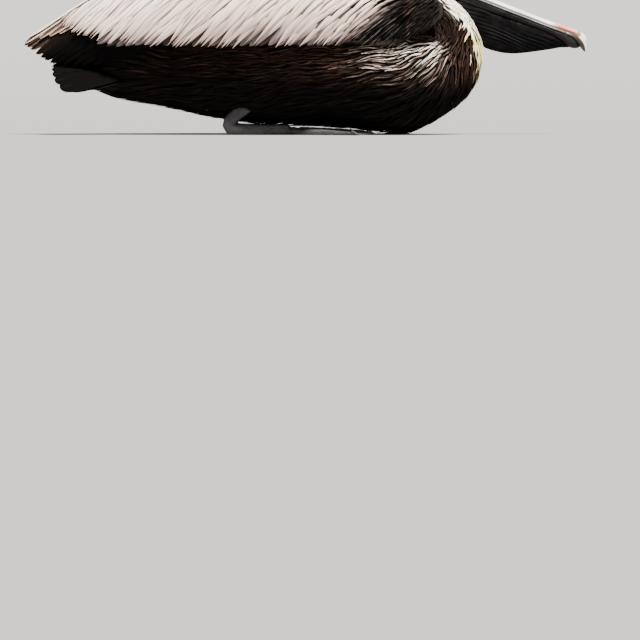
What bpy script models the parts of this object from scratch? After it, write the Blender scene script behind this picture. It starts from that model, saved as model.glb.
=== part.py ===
"""Brown pelican at life size, sitting with its neck folded and its bill laid on the foreneck.

Units are metres. The bird faces +X, +Z is up, and the floor is at z = 0. The origin is at the
middle of the underside of the whole bird's box. Every solid reaches out to the tips of the plumage.
"""

import math

import bmesh
import bpy
from mathutils import Matrix, Vector

# ---- Driving dimensions ----
BILL_TIP_X = 0.3675  # foremost point of the bill's nail
WING_TIP_X = -0.3675  # hindmost point of the folded primaries
GAP = 0.0004  # space left between neighbouring solids

BILL_BASE = Vector((0.077, 0.0, 0.230))  # on the line where the two mandibles meet, at the face
BILL_SLOPE = math.radians(21.1)  # the bill points forward and down by this angle
NAIL_FROM = 0.286  # along the bill, where its hooked nail starts
MANDIBLE_LENGTH = 0.304
POUCH_FROM, POUCH_TO = 0.105, 0.291

HEAD_LENGTH = 0.104  # from the bill's base to the nape
HEAD_SLOPE = math.radians(13.0)
EYE_BACK, EYE_UP, EYE_OUT, EYE_RADIUS = 0.034, 0.0085, 0.0172, 0.0080

TAIL_ROOT_X, TAIL_END_X = -0.205, -0.329
TAIL_HALF_WIDTH = 0.064
TAIL_THICKNESS = 0.007

FOOT_X, FOOT_Y = -0.012, 0.052  # where the toes meet the tarsus
FOOT_TURN = math.radians(6.0)  # each foot toes out by this angle
HEEL_X = -0.092
TARSUS_RADIUS = 0.0072
WEB_THICKNESS = 0.0022

# ---- Plumage and skin colours: linear red, green, blue, then roughness ----
SILVER = (0.62, 0.57, 0.52, 0.75)
DARK_BROWN = (0.035, 0.025, 0.020, 0.85)
CHESTNUT = (0.085, 0.035, 0.022, 0.80)
CREAM = (0.78, 0.70, 0.48, 0.80)
HORN = (0.55, 0.47, 0.38, 0.40)
POUCH_SKIN = (0.030, 0.028, 0.028, 0.50)
FOOT_SKIN = (0.022, 0.022, 0.024, 0.55)
IRIS = (0.50, 0.45, 0.35, 0.10)


# ---- General tools ----
def clear_scene():
    for obj in list(bpy.data.objects):
        bpy.data.objects.remove(obj)


def through(points, at):
    """Value at `at` on the smooth curve through (position, value) pairs, held beyond its ends."""
    if at <= points[0][0]:
        return points[0][1]
    if at >= points[-1][0]:
        return points[-1][1]
    i = max(k for k in range(len(points) - 1) if points[k][0] <= at)

    def slope(k):
        if k in (0, len(points) - 1):
            return 0.0 if k else chord(0)
        a, b = chord(k - 1), chord(k)
        return 0.0 if a * b <= 0 else 2 * a * b / (a + b)

    def chord(k):
        return (points[k + 1][1] - points[k][1]) / (points[k + 1][0] - points[k][0])

    end_slope = chord(len(points) - 2) if i + 1 == len(points) - 1 else slope(i + 1)
    width = points[i + 1][0] - points[i][0]
    t = (at - points[i][0]) / width
    return (
        (2 * t**3 - 3 * t**2 + 1) * points[i][1]
        + (t**3 - 2 * t**2 + t) * width * slope(i)
        + (3 * t**2 - 2 * t**3) * points[i + 1][1]
        + (t**3 - t**2) * width * end_slope
    )


def spread(low, high, count):
    return [low + (high - low) * k / (count - 1) for k in range(count)]


def bunched(low, high, count):
    """`count` positions from low to high, closer together at both ends, as a rounded end needs."""
    return [low + (high - low) * (1 - math.cos(math.pi * k / (count - 1))) / 2 for k in range(count)]


def material(name, look):
    """One Principled material, made once for each name."""
    made = bpy.data.materials.get(name) or bpy.data.materials.new(name)
    made.use_nodes = True
    shader = made.node_tree.nodes["Principled BSDF"]
    shader.inputs["Base Color"].default_value = (*look[:3], 1.0)
    shader.inputs["Roughness"].default_value = look[3]
    shader.inputs["Metallic"].default_value = 0.0
    return made


def mesh_object(name, points, faces, surface):
    """A smooth-shaded object of this name, with its faces turned outwards."""
    mesh = bpy.data.meshes.new(name)
    mesh.from_pydata([tuple(p) for p in points], [], faces)
    work = bmesh.new()
    work.from_mesh(mesh)
    bmesh.ops.recalc_face_normals(work, faces=work.faces)
    work.to_mesh(mesh)
    work.free()
    mesh.shade_smooth()
    mesh.materials.append(surface)
    obj = bpy.data.objects.new(name, mesh)
    bpy.context.scene.collection.objects.link(obj)
    return obj


def loft(name, rings, surface):
    """A closed solid through rings of equally many points, each end closed by a fan."""
    count = len(rings[0])
    points = [p for ring in rings for p in ring]
    faces = []
    for r in range(len(rings) - 1):
        for k in range(count):
            a, b = r * count + k, r * count + (k + 1) % count
            faces.append((a, b, b + count, a + count))
    for first in (0, (len(rings) - 1) * count):
        centre = sum((Vector(p) for p in points[first : first + count]), Vector()) / count
        points.append(centre)
        for k in range(count):
            faces.append((first + k, first + (k + 1) % count, len(points) - 1))
    return mesh_object(name, points, faces, surface)


def oval(centre, side, up, half_width, above, below, count, power=2.0):
    """A ring whose upper and lower halves are superellipses of their own heights."""
    ring = []
    for k in range(count):
        angle = 2 * math.pi * k / count
        c, s = math.cos(angle), math.sin(angle)
        across = math.copysign(abs(c) ** (2 / power), c) * half_width
        rise = math.copysign(abs(s) ** (2 / power), s) * (above if s > 0 else below)
        ring.append(centre + side * across + up * rise)
    return ring


def apply_modifiers(obj):
    bpy.context.view_layer.update()
    graph = bpy.context.evaluated_depsgraph_get()
    obj.data = bpy.data.meshes.new_from_object(obj.evaluated_get(graph))
    obj.modifiers.clear()


def grown(obj):
    """A copy of a solid, larger by the gap all over, to cut its neighbours clear of it."""
    cutter = bpy.data.objects.new(obj.name + "_cutter", obj.data.copy())
    bpy.context.scene.collection.objects.link(cutter)
    for vertex, normal in zip(cutter.data.vertices, [v.normal.copy() for v in cutter.data.vertices]):
        vertex.co += normal * GAP
    return cutter


def cut_away(obj, *cutters):
    """Removes the space of the grown cutters from obj."""
    for cutter in cutters:
        modifier = obj.modifiers.new("clear of " + cutter.name, "BOOLEAN")
        modifier.operation = "DIFFERENCE"
        modifier.solver = "EXACT"
        modifier.object = cutter
        apply_modifiers(obj)
    keep_largest_piece(obj)


def keep_largest_piece(obj):
    """Drops crumbs that a cut may leave beside the main piece."""
    work = bmesh.new()
    work.from_mesh(obj.data)
    bmesh.ops.remove_doubles(work, verts=work.verts, dist=1e-5)
    left, islands = set(work.verts), []
    while left:
        island, edge = set(), [left.pop()]
        while edge:
            vertex = edge.pop()
            island.add(vertex)
            for link in vertex.link_edges:
                other = link.other_vert(vertex)
                if other in left:
                    left.discard(other)
                    edge.append(other)
        islands.append(island)
    islands.sort(key=len)
    crumbs = [v for island in islands[:-1] for v in island]
    bmesh.ops.delete(work, geom=crumbs, context="VERTS")
    work.to_mesh(obj.data)
    work.free()


def bend_points(points, steps):
    """Points of a smooth curve through `points`, `steps` to each span (Catmull-Rom)."""
    padded = [points[0] * 2 - points[1], *points, points[-1] * 2 - points[-2]]
    out = []
    for i in range(1, len(padded) - 2):
        a, b, c, d = padded[i - 1 : i + 3]
        for k in range(steps):
            t = k / steps
            once, twice, thrice = c - a, 2 * a - 5 * b + 4 * c - d, 3 * b - a - 3 * c + d
            out.append(0.5 * (2 * b + once * t + twice * t**2 + thrice * t**3))
    return [*out, points[-1].copy()]


# ---- Trunk: breast, back, belly and rump in one ----
# Each list pairs a position along the body with a height or half width there.
BREAST_FLAT = (0.098, 0.128)  # from where to where the breast presses on the floor
TRUNK_TOP = [
    (-0.290, 0.078), (-0.268, 0.098), (-0.240, 0.122), (-0.190, 0.168), (-0.120, 0.203), (-0.060, 0.216),
    (-0.010, 0.213), (0.030, 0.204), (0.085, 0.190), (0.130, 0.172), (0.170, 0.146), (0.200, 0.118),
    (0.214, 0.092),
]
TRUNK_BOTTOM = [
    (-0.290, 0.065), (-0.268, 0.0565), (-0.248, 0.0475), (-0.192, 0.0375), (-0.120, 0.022), (-0.050, 0.0125),
    (0.030, 0.010), (0.080, 0.0030), (BREAST_FLAT[0], -0.0045), (BREAST_FLAT[1], -0.0045), (0.146, 0.0055),
    (0.167, 0.0160), (0.188, 0.030), (0.204, 0.0480), (0.214, 0.068),
]
TRUNK_HALF_WIDTH = [
    (-0.290, 0.022), (-0.268, 0.034), (-0.240, 0.045), (-0.192, 0.061), (-0.120, 0.084), (-0.050, 0.098),
    (0.030, 0.105), (0.085, 0.104), (0.130, 0.095), (0.170, 0.077), (0.200, 0.048), (0.214, 0.018),
]
TRUNK_RINGS, TRUNK_AROUND = 22, 28
WIDEST_LEVEL = 0.46  # share of the body's depth at which it is widest


def trunk():
    rings = []
    for x in sorted([*bunched(TRUNK_TOP[0][0], TRUNK_TOP[-1][0], TRUNK_RINGS), *BREAST_FLAT]):
        top, bottom = through(TRUNK_TOP, x), through(TRUNK_BOTTOM, x)
        level = bottom + (top - bottom) * WIDEST_LEVEL
        ring = oval(
            Vector((x, 0, level)), Vector((0, 1, 0)), Vector((0, 0, 1)),
            through(TRUNK_HALF_WIDTH, x), top - level, level - bottom, TRUNK_AROUND, 2.15,
        )
        # The breast is pressed flat where it touches the floor.
        rings.append([Vector((p.x, p.y, max(p.z, 0.0))) for p in ring])
    return loft("trunk", rings, material("belly_plumage", DARK_BROWN))


# ---- Neck: folded into an S, from the nape down between the shoulders and out over the breast ----
NECK_LINE = [
    Vector((x, 0.0, z))
    for x, z in (
        (0.010, 0.250), (-0.015, 0.243), (-0.031, 0.215), (-0.016, 0.189), (0.018, 0.183), (0.060, 0.179),
        (0.106, 0.168), (0.153, 0.149), (0.180, 0.110), (0.172, 0.080), (0.146, 0.064),
    )
]
NECK_RADIUS = [
    (0.0, 0.025), (0.10, 0.029), (0.28, 0.029), (0.48, 0.031), (0.68, 0.044), (0.82, 0.051), (1.0, 0.050),
]
NECK_STEPS, NECK_AROUND = 3, 16
NECK_PART_AT = 16  # the ring at which the upper neck ends and the lower neck starts
NECK_FLATTENING = 0.94  # width over depth


def neck_rings():
    line = bend_points(NECK_LINE, NECK_STEPS)
    lengths = [0.0]
    for a, b in zip(line, line[1:]):
        lengths.append(lengths[-1] + (b - a).length)
    rings = []
    for i, point in enumerate(line):
        along = (line[min(i + 1, len(line) - 1)] - line[max(i - 1, 0)]).normalized()
        side = Vector((0, 1, 0))
        radius = through(NECK_RADIUS, lengths[i] / lengths[-1])
        up = along.cross(side)
        rings.append(oval(point, side, up, radius * NECK_FLATTENING, radius, radius, NECK_AROUND))
    return rings, line


def necks():
    rings, line = neck_rings()
    upper = loft("neck_upper", rings[: NECK_PART_AT + 1], material("neck_plumage", CHESTNUT))
    # The lower neck starts one gap further on.
    start = line[NECK_PART_AT]
    step = (line[NECK_PART_AT + 1] - start).normalized() * GAP
    first = [p + step for p in rings[NECK_PART_AT]]
    lower = loft("neck_lower", [first, *rings[NECK_PART_AT + 1 :]], material("foreneck_plumage", CREAM))
    return upper, lower


# ---- Head ----
# Pairs of distance back from the bill's base and a size across the head's own axis.
HEAD_HALF_WIDTH = [
    (0.0, 0.0168), (0.018, 0.0205), (0.040, 0.0250), (0.066, 0.0265), (0.088, 0.0215), (0.104, 0.0070),
]
HEAD_ABOVE = [
    (0.0, 0.0178), (0.018, 0.0222), (0.040, 0.0275), (0.066, 0.0290), (0.088, 0.0225), (0.104, 0.0060),
]
HEAD_BELOW = [
    (0.0, 0.0222), (0.018, 0.0262), (0.040, 0.0290), (0.066, 0.0270), (0.088, 0.0200), (0.104, 0.0060),
]
HEAD_RISE = 0.0085  # the head's axis passes this far above the mandibles' line
HEAD_RINGS, HEAD_AROUND = 12, 20


def head_frame(s):
    """A place on the head's axis, s behind the bill, with the directions back and up there."""
    # Where it meets the bill, the head is square to the bill; further back it is more level.
    slope = through([(0.0, BILL_SLOPE), (0.045, HEAD_SLOPE), (1.0, HEAD_SLOPE)], s)
    back = Vector((-math.cos(HEAD_SLOPE), 0, math.sin(HEAD_SLOPE)))
    up = Vector((math.sin(slope), 0, math.cos(slope)))
    bill_up = Vector((math.sin(BILL_SLOPE), 0, math.cos(BILL_SLOPE)))
    return BILL_BASE + bill_up * HEAD_RISE + back * s, back, up


def head():
    rings = []
    for s in bunched(0.0, HEAD_LENGTH, HEAD_RINGS):
        place, _, up = head_frame(s)
        rings.append(
            oval(
                place, Vector((0, 1, 0)), up, through(HEAD_HALF_WIDTH, s), through(HEAD_ABOVE, s),
                through(HEAD_BELOW, s), HEAD_AROUND, 2.2,
            )
        )
    return loft("head", rings, material("head_plumage", CREAM))


def eye(side_name, sign):
    place, _, up = head_frame(EYE_BACK)
    centre = place + up * EYE_UP + Vector((0, sign * EYE_OUT, 0))
    rings = []
    for tilt in spread(-math.pi / 2 + 0.22, math.pi / 2 - 0.22, 7):
        radius = EYE_RADIUS * math.cos(tilt)
        middle = centre + Vector((0, EYE_RADIUS * math.sin(tilt), 0))
        rings.append(oval(middle, Vector((1, 0, 0)), Vector((0, 0, 1)), radius, radius, radius, 14))
    return loft("eye_" + side_name, rings, material("eye", IRIS))


# ---- Bill and pouch, drawn along the bill's own line ----
CULMEN = [
    (0.0, 0.026), (0.040, 0.0195), (0.080, 0.0145), (0.120, 0.0112), (0.170, 0.0090), (0.240, 0.0088),
    (0.275, 0.0098), (0.290, 0.0112), (0.303, 0.0090), (0.3095, 0.0030),
]
BILL_HALF_WIDTH = [
    (0.0, 0.0165), (0.040, 0.0148), (0.100, 0.0120), (0.160, 0.0105), (0.220, 0.0110), (0.262, 0.0125),
    (0.288, 0.0105), (0.303, 0.0070), (0.3095, 0.0030),
]
TOMIUM = [(0.0, 0.0), (0.284, 0.0), (0.296, -0.0030), (0.304, -0.0095), (0.3095, -0.0130)]
MANDIBLE_BOTTOM = [
    (0.0, -0.0135), (0.060, -0.0122), (0.120, -0.0104), (0.180, -0.0086), (0.240, -0.0074),
    (0.280, -0.0100), (0.292, -0.0138), (0.304, -0.0143),
]
POUCH_BOTTOM = [
    (0.112, -0.030), (0.140, -0.045), (0.168, -0.0535), (0.190, -0.0560), (0.206, -0.0545), (0.224, -0.0495),
    (0.246, -0.0380), (0.268, -0.0255), (0.284, -0.0180), (0.291, -0.0165),
]
BILL_RINGS, MANDIBLE_RINGS = 22, 24
BILL_FROM = 0.0005  # both mandibles start this far in front of the head
MOUTH_GAP = 0.0005


def bill_point(along, across, height):
    """A point given along the bill from its base, sideways, and above the mandibles' line."""
    forward = Vector((math.cos(BILL_SLOPE), 0, -math.sin(BILL_SLOPE)))
    up = Vector((math.sin(BILL_SLOPE), 0, math.cos(BILL_SLOPE)))
    return BILL_BASE + forward * along + up * height + Vector((0, across, 0))


def upper_bill():
    """The upper mandible: flat sides rise to a rounded ridge, and the nail hooks over the tip."""
    rings = []
    for s in [*spread(BILL_FROM, 0.262, BILL_RINGS - 8), *spread(0.272, 0.3095, 8)]:
        half, top, edge = through(BILL_HALF_WIDTH, s), through(CULMEN, s), through(TOMIUM, s)
        height = top - edge
        ridge = 0.34 + 0.3 * max(0.0, (s - NAIL_FROM) / (CULMEN[-1][0] - NAIL_FROM))
        profile = [
            (-1.0, 0.0), (-1.0, 0.16), (-0.80, 0.40), (-ridge, 0.66), (-ridge * 0.62, 0.90), (0.0, 1.0),
            (ridge * 0.62, 0.90), (ridge, 0.66), (0.80, 0.40), (1.0, 0.16), (1.0, 0.0), (0.0, 0.0),
        ]
        rings.append([bill_point(s, half * a, edge + height * h) for a, h in profile])
    return loft("bill_upper", rings, material("horn", HORN))


def mandible_stations():
    """Where the lower mandible has its rings; the pouch shares them, so that the two keep their gap."""
    return spread(BILL_FROM, MANDIBLE_LENGTH, MANDIBLE_RINGS)


def lower_bill():
    rings = []
    for s in mandible_stations():
        # The nail drops in front of the mandible's end, so the mandible narrows and dips there.
        half = through(BILL_HALF_WIDTH, s) - 0.0008
        edge = min(through(TOMIUM, s), 0.0) - MOUTH_GAP
        bottom = min(through(MANDIBLE_BOTTOM, s), edge - 0.004)
        profile = [
            (-1.0, 0.0), (-0.98, 0.45), (-0.80, 0.80), (-0.40, 1.0), (0.40, 1.0), (0.80, 0.80), (0.98, 0.45),
            (1.0, 0.0),
        ]
        rings.append([bill_point(s, half * a, edge + (bottom - edge) * h) for a, h in profile])
    return loft("bill_lower", rings, material("horn", HORN))


def pouch():
    """The throat pouch: a loose keel of skin hanging between the mandible's two sides."""
    rings = []
    for s in [s for s in mandible_stations() if POUCH_FROM <= s <= POUCH_TO]:
        half = through(BILL_HALF_WIDTH, s) - 0.0022
        top = through(MANDIBLE_BOTTOM, s) - GAP
        bottom = min(through(POUCH_BOTTOM, s), top - 0.0030)
        profile = [
            (-1.0, 0.0), (-0.97, 0.22), (-0.84, 0.50), (-0.60, 0.80), (-0.26, 0.97),
            (0.26, 0.97), (0.60, 0.80), (0.84, 0.50), (0.97, 0.22), (1.0, 0.0),
        ]
        rings.append([bill_point(s, half * a, top + (bottom - top) * h) for a, h in profile])
    return loft("pouch", rings, material("pouch_skin", POUCH_SKIN))


# ---- Wings, folded along the sides and meeting as a roof over the rump and tail ----
WING_TOP = [
    (-0.3675, 0.1200), (-0.330, 0.1440), (-0.279, 0.1760), (-0.230, 0.2000), (-0.170, 0.2190),
    (-0.100, 0.2310), (-0.020, 0.2350), (0.060, 0.2300), (0.110, 0.2150), (0.150, 0.1920), (0.178, 0.1660),
]
WING_BOTTOM = [
    (-0.3675, 0.1120), (-0.350, 0.1000), (-0.325, 0.0915), (-0.270, 0.0960), (-0.200, 0.1060),
    (-0.120, 0.1120), (0.000, 0.1140), (0.100, 0.1140), (0.150, 0.1270), (0.178, 0.1460),
]
WING_OUT = [
    (-0.3675, 0.0100), (-0.340, 0.0260), (-0.300, 0.0440), (-0.250, 0.0640), (-0.200, 0.0830),
    (-0.150, 0.0990), (-0.090, 0.1140), (-0.020, 0.1230), (0.050, 0.1230), (0.100, 0.1140),
    (0.150, 0.0950), (0.178, 0.0740),
]
WING_TOP_Y = [
    (-0.3675, 0.0040), (-0.250, 0.0030), (-0.150, 0.0050), (-0.060, 0.0180), (0.030, 0.0320), (0.110, 0.0440),
    (0.178, 0.0560),
]
# The wing's inner edge lies this much below its highest line, where it meets the back.
WING_DROP = [
    (-0.3675, 0.0010), (-0.200, 0.0030), (-0.080, 0.0130), (0.030, 0.0240), (0.120, 0.0220), (0.178, 0.0040),
]
WING_THICKNESS = [
    (-0.3675, 0.0030), (-0.300, 0.0070), (-0.200, 0.0120), (-0.080, 0.0190), (0.100, 0.0200), (0.178, 0.0100),
]
WING_RINGS, WING_ACROSS = 26, 9


def wing(side_name, sign):
    """One folded wing: a shell that curves from the back, out over the side, to its lower edge."""
    rings = []
    for x in bunched(WING_TIP_X, WING_TOP[-1][0], WING_RINGS):
        top, bottom = through(WING_TOP, x), through(WING_BOTTOM, x)
        out, top_y = through(WING_OUT, x), through(WING_TOP_Y, x)
        thick = through(WING_THICKNESS, x)
        corners = [
            Vector((x, top_y, top - through(WING_DROP, x))),
            Vector((x, top_y + (out - top_y) * 0.70, top + 0.010)),
            Vector((x, out * 1.14, top + (bottom - top) * 0.48)),
            Vector((x, out * 0.95, bottom)),
        ]
        outer = [bezier(corners, t) for t in spread(0.0, 1.0, WING_ACROSS)]
        lift = top - max(p.z for p in outer)
        outer = [p + Vector((0, 0, lift * (p.z - bottom) / (top - bottom))) for p in outer]
        inner = []
        for i, point in enumerate(outer):
            along = outer[min(i + 1, WING_ACROSS - 1)] - outer[max(i - 1, 0)]
            inward = Vector((0, along.z, -along.y)).normalized()
            taper = 0.35 + 0.65 * math.sin(math.pi * (i + 0.35) / (WING_ACROSS - 0.3))
            moved = point + inward * thick * taper
            inner.append(Vector((x, max(moved.y, 0.0012), moved.z)))
        ring = [*outer, *reversed(inner)]
        rings.append([Vector((p.x, sign * p.y, p.z)) for p in ring])
    return loft("wing_" + side_name, rings, material("silver_plumage", SILVER))


def bezier(corners, t):
    a, b, c, d = corners
    return a * (1 - t) ** 3 + b * 3 * t * (1 - t) ** 2 + c * 3 * t**2 * (1 - t) + d * t**3


# ---- Tail: a short rounded fan, arched from side to side ----
TAIL_ARCH = 0.030  # the outermost feathers lie this much lower than the middle ones
TAIL_ROUNDING = 0.013  # the outermost feathers end this much short of the middle ones
TAIL_ROOT_Z, TAIL_END_Z = 0.100, 0.088
TAIL_ROOT_HALF = 0.024


def tail():
    around = 15
    rings = []
    for t in spread(0.0, 1.0, 7):
        half = TAIL_ROOT_HALF + (TAIL_HALF_WIDTH - TAIL_ROOT_HALF) * t**0.8
        thick = TAIL_THICKNESS * (1.15 - 0.5 * t)
        ring = []
        for k in range(2 * around):
            under = k >= around
            a = -1 + 2 * (k if not under else 2 * around - 1 - k) / (around - 1)
            x = TAIL_ROOT_X + (TAIL_END_X + TAIL_ROUNDING * a**4 - TAIL_ROOT_X) * t
            z = TAIL_ROOT_Z + (TAIL_END_Z - TAIL_ROOT_Z) * t - TAIL_ARCH * a * a * (0.35 + 0.65 * t)
            edge = 0.45 + 0.55 * math.sqrt(max(0.0, 1 - a * a))
            ring.append(Vector((x, half * a, z + (-0.5 if under else 0.5) * thick * edge)))
        rings.append(ring)
    return loft("tail", rings, material("flight_feathers", DARK_BROWN))


# ---- Legs and webbed feet: four toes joined by three webs, flat on the floor ----
TOES = (  # angle inward from straight ahead in degrees, length to the claw's root, radius
    (80.0, 0.040, 0.0036),
    (27.0, 0.072, 0.0044),
    (-3.0, 0.096, 0.0048),
    (-31.0, 0.092, 0.0044),
)
CLAW_LENGTH = 0.011
WEB_HOLLOW = 0.07  # the web's edge hollows by this share between two toes
FOOT_STEPS = 7
FOOT_BACK = 0.010  # the foot's heel pad reaches this far behind the toes' root


def foot_spokes():
    """Directions in degrees, from the outermost toe to the innermost, each with the foot's reach there."""
    spokes = []
    for (a, reach_a, _), (b, reach_b, _) in zip(TOES, TOES[1:]):
        for share in (0.10, 0.30, 0.50, 0.70, 0.90):
            angle = a + (b - a) * share
            to_a, to_b, whole = (math.sin(math.radians(abs(v))) for v in (a - angle, angle - b, a - b))
            # The distance at which this direction meets the straight line between the two toe ends.
            straight = reach_a * reach_b * whole / (reach_a * to_a + reach_b * to_b)
            spokes.append((angle, straight * (1 - WEB_HOLLOW * math.sin(math.pi * share))))
        spokes.append((b, reach_b + CLAW_LENGTH))
    (first, first_reach, _), last = TOES[0], TOES[-1][0]
    spokes += [(first, first_reach + CLAW_LENGTH), (first + 9.0, 0.021), (last - 6.0, 0.030)]
    return sorted(spokes)


def toe_height(point):
    """Height of the upper side of the foot at a place measured from the toes' root."""
    height = WEB_THICKNESS
    for angle, reach, radius in TOES:
        way = Vector((math.cos(math.radians(angle)), -math.sin(math.radians(angle)), 0))
        along = max(0.0, min(reach, point.dot(way)))
        off = (point - way * along).length
        thick = 2 * radius * (1 - 0.45 * along / reach)
        height = max(height, WEB_THICKNESS + (thick - WEB_THICKNESS) * math.exp(-((off / radius) ** 2)))
    return height


def foot(side_name, sign):
    spokes = foot_spokes()
    top, under, faces = [], [], []
    for angle, edge in spokes:
        way = Vector((math.cos(math.radians(angle)), -math.sin(math.radians(angle)), 0))
        for step in spread(0.0, 1.0, FOOT_STEPS):
            place = way * edge * step - Vector((FOOT_BACK, 0, 0)) * (1 - step)
            thin = 1.0 - 0.5 * step**6
            top.append(Vector((place.x, place.y, toe_height(place) * thin)))
            under.append(Vector((place.x, place.y, 0.0)))
    count = len(top)
    for i in range(len(spokes) - 1):
        for k in range(FOOT_STEPS - 1):
            a, b = i * FOOT_STEPS + k, (i + 1) * FOOT_STEPS + k
            faces += [(a, b, b + 1, a + 1), (a + count, a + 1 + count, b + 1 + count, b + count)]
        a, b = i * FOOT_STEPS + FOOT_STEPS - 1, (i + 1) * FOOT_STEPS + FOOT_STEPS - 1
        faces.append((a, b, b + count, a + count))
    for i in (0, len(spokes) - 1):
        for k in range(FOOT_STEPS - 1):
            a = i * FOOT_STEPS + k
            faces.append((a, a + 1, a + 1 + count, a + count))
    turn = Matrix.Rotation(FOOT_TURN, 3, "Z")
    points = [turn @ p for p in top + under]
    points = [Vector((FOOT_X + p.x, sign * (FOOT_Y + p.y), p.z)) for p in points]
    obj = mesh_object("foot_" + side_name, points, faces, material("foot_skin", FOOT_SKIN))
    work = bmesh.new()
    work.from_mesh(obj.data)
    bmesh.ops.remove_doubles(work, verts=work.verts, dist=1e-5)
    bmesh.ops.recalc_face_normals(work, faces=work.faces)
    work.to_mesh(obj.data)
    work.free()
    return obj


def leg(side_name, sign):
    """The bare tarsus laid along the floor, its heel, and the shin up into the belly plumage."""
    start_x, low = FOOT_X - FOOT_BACK - GAP, TARSUS_RADIUS * 0.8
    line = (
        (start_x, FOOT_Y, low), (start_x - 0.026, FOOT_Y, low), (HEEL_X, FOOT_Y - 0.001, low + 0.0015),
        (HEEL_X - 0.006, FOOT_Y - 0.001, 0.0160), (HEEL_X + 0.008, FOOT_Y - 0.002, 0.0290),
        (HEEL_X + 0.030, FOOT_Y - 0.004, 0.0450),
    )
    points = bend_points([Vector((x, sign * y, z)) for x, y, z in line], 3)
    rings = []
    for i, point in enumerate(points):
        along = (points[min(i + 1, len(points) - 1)] - points[max(i - 1, 0)]).normalized()
        side = Vector((0, 1, 0))
        up = along.cross(side).normalized()
        ring = oval(point, side, up, TARSUS_RADIUS * 0.72, TARSUS_RADIUS, TARSUS_RADIUS, 10, 2.6)
        rings.append([Vector((p.x, p.y, max(p.z, 0.0))) for p in ring])
    return loft("leg_" + side_name, rings, material("foot_skin", FOOT_SKIN))


# ---- The whole bird ----
def build():
    clear_scene()
    eyes = [eye("left", 1), eye("right", -1)]
    skull = head()
    bills = [upper_bill(), lower_bill()]
    throat = pouch()
    upper, lower = necks()
    wings = [wing("left", 1), wing("right", -1)]
    fan = tail()
    limbs = [foot("left", 1), foot("right", -1), leg("left", 1), leg("right", -1)]
    body = trunk()

    cut_eyes, cut_bills = [grown(o) for o in eyes], [grown(o) for o in bills]
    cut_necks, cut_wings = [grown(upper), grown(lower)], [grown(o) for o in wings]
    cut_skull, cut_throat, cut_fan = grown(skull), grown(throat), grown(fan)
    cut_limbs = [grown(o) for o in limbs]

    cut_away(skull, *cut_eyes, *cut_bills)
    cut_away(upper, cut_skull, *cut_bills)
    cut_away(lower, *cut_bills)
    cut_away(throat, *cut_necks, cut_skull)
    for side in wings:
        cut_away(side, *cut_necks)
    cut_away(fan, *cut_wings)
    cut_away(body, cut_skull, *cut_bills, *cut_necks, cut_throat, *cut_wings, cut_fan, *cut_limbs)
    for cutter in [*cut_eyes, *cut_bills, *cut_necks, *cut_wings, cut_skull, cut_throat, cut_fan, *cut_limbs]:
        bpy.data.objects.remove(cutter)
    centre_on_floor()


def centre_on_floor():
    """Moves the whole bird so that the middle of its box is over the origin and it stands at z = 0."""
    meshes = [o.data for o in bpy.data.objects]
    points = [v.co for m in meshes for v in m.vertices]
    low = Vector(min(p[k] for p in points) for k in range(3))
    high = Vector(max(p[k] for p in points) for k in range(3))
    middle = (low + high) / 2
    for mesh in meshes:
        mesh.transform(Matrix.Translation((-middle.x, -middle.y, -low.z)))


build()
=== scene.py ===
"""The looks of a life-size brown pelican: one skin, and solid vanes of plumage laid over it.

Lengths are metres in the model's own frame: +X to the bill's tip, +Z up, the floor at z = 0.
The surfaces that the plumage lies on are read from the CAD model's solids.
"""

import itertools
import math

import bmesh
import bpy
import numpy as np
from mathutils import Matrix, Vector
from mathutils.bvhtree import BVHTree


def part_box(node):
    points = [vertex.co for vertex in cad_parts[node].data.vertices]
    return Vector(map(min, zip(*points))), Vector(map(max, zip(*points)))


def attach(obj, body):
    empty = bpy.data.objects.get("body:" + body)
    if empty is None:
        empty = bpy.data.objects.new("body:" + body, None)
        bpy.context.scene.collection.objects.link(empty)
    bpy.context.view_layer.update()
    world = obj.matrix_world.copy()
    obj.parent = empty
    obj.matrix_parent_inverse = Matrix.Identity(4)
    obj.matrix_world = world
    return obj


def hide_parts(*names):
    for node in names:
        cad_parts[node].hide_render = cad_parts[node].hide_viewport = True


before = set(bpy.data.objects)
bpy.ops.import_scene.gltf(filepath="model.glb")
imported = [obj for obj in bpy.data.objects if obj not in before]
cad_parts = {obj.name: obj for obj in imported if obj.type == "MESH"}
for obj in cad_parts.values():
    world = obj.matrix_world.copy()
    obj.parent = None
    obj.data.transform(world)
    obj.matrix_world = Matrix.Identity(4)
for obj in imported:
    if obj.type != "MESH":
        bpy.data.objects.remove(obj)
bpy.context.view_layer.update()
ROOT = "root"

# ---- Lines of the body that markings and the lie of the plumage follow, as (x, z) ----
# From the bill's base over the head's axis to the nape, and down the folded neck to the breast.
SPINE_LINE = (
    (0.080, 0.238), (0.050, 0.246), (0.020, 0.253), (-0.004, 0.251), (-0.021, 0.240), (-0.031, 0.215),
    (-0.016, 0.189), (0.018, 0.183), (0.060, 0.179), (0.106, 0.168), (0.153, 0.149), (0.1800, 0.110),
    (0.172, 0.080), (0.146, 0.064),
)
SPINE_RADIUS = (
    0.020, 0.026, 0.028, 0.027, 0.028, 0.029, 0.029, 0.030, 0.032, 0.038, 0.044, 0.051, 0.051, 0.050,
)
# Along the line: the cosine, from the throat's side, at which the white of the foreneck begins.
WHITE_AT = (0, 3, 6, 9, 10, 10.3, 10.6, 11, 11.5, 12)
WHITE_FROM = (-0.30, 0.02, 0.10, 0.28, 0.63, 0.75, 0.73, 0.81, 0.94, 1.2)
BREAST_ORIGIN = (0.236, 0.152)  # breast plumes fan out from here, in side view
OVER_FLOOR = 0.0004  # skin and plumage stay this high over the floor


# ---- Small vector tools ----
def unit(v):
    return v / np.maximum(np.linalg.norm(v, axis=-1, keepdims=True), 1e-9)


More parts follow.
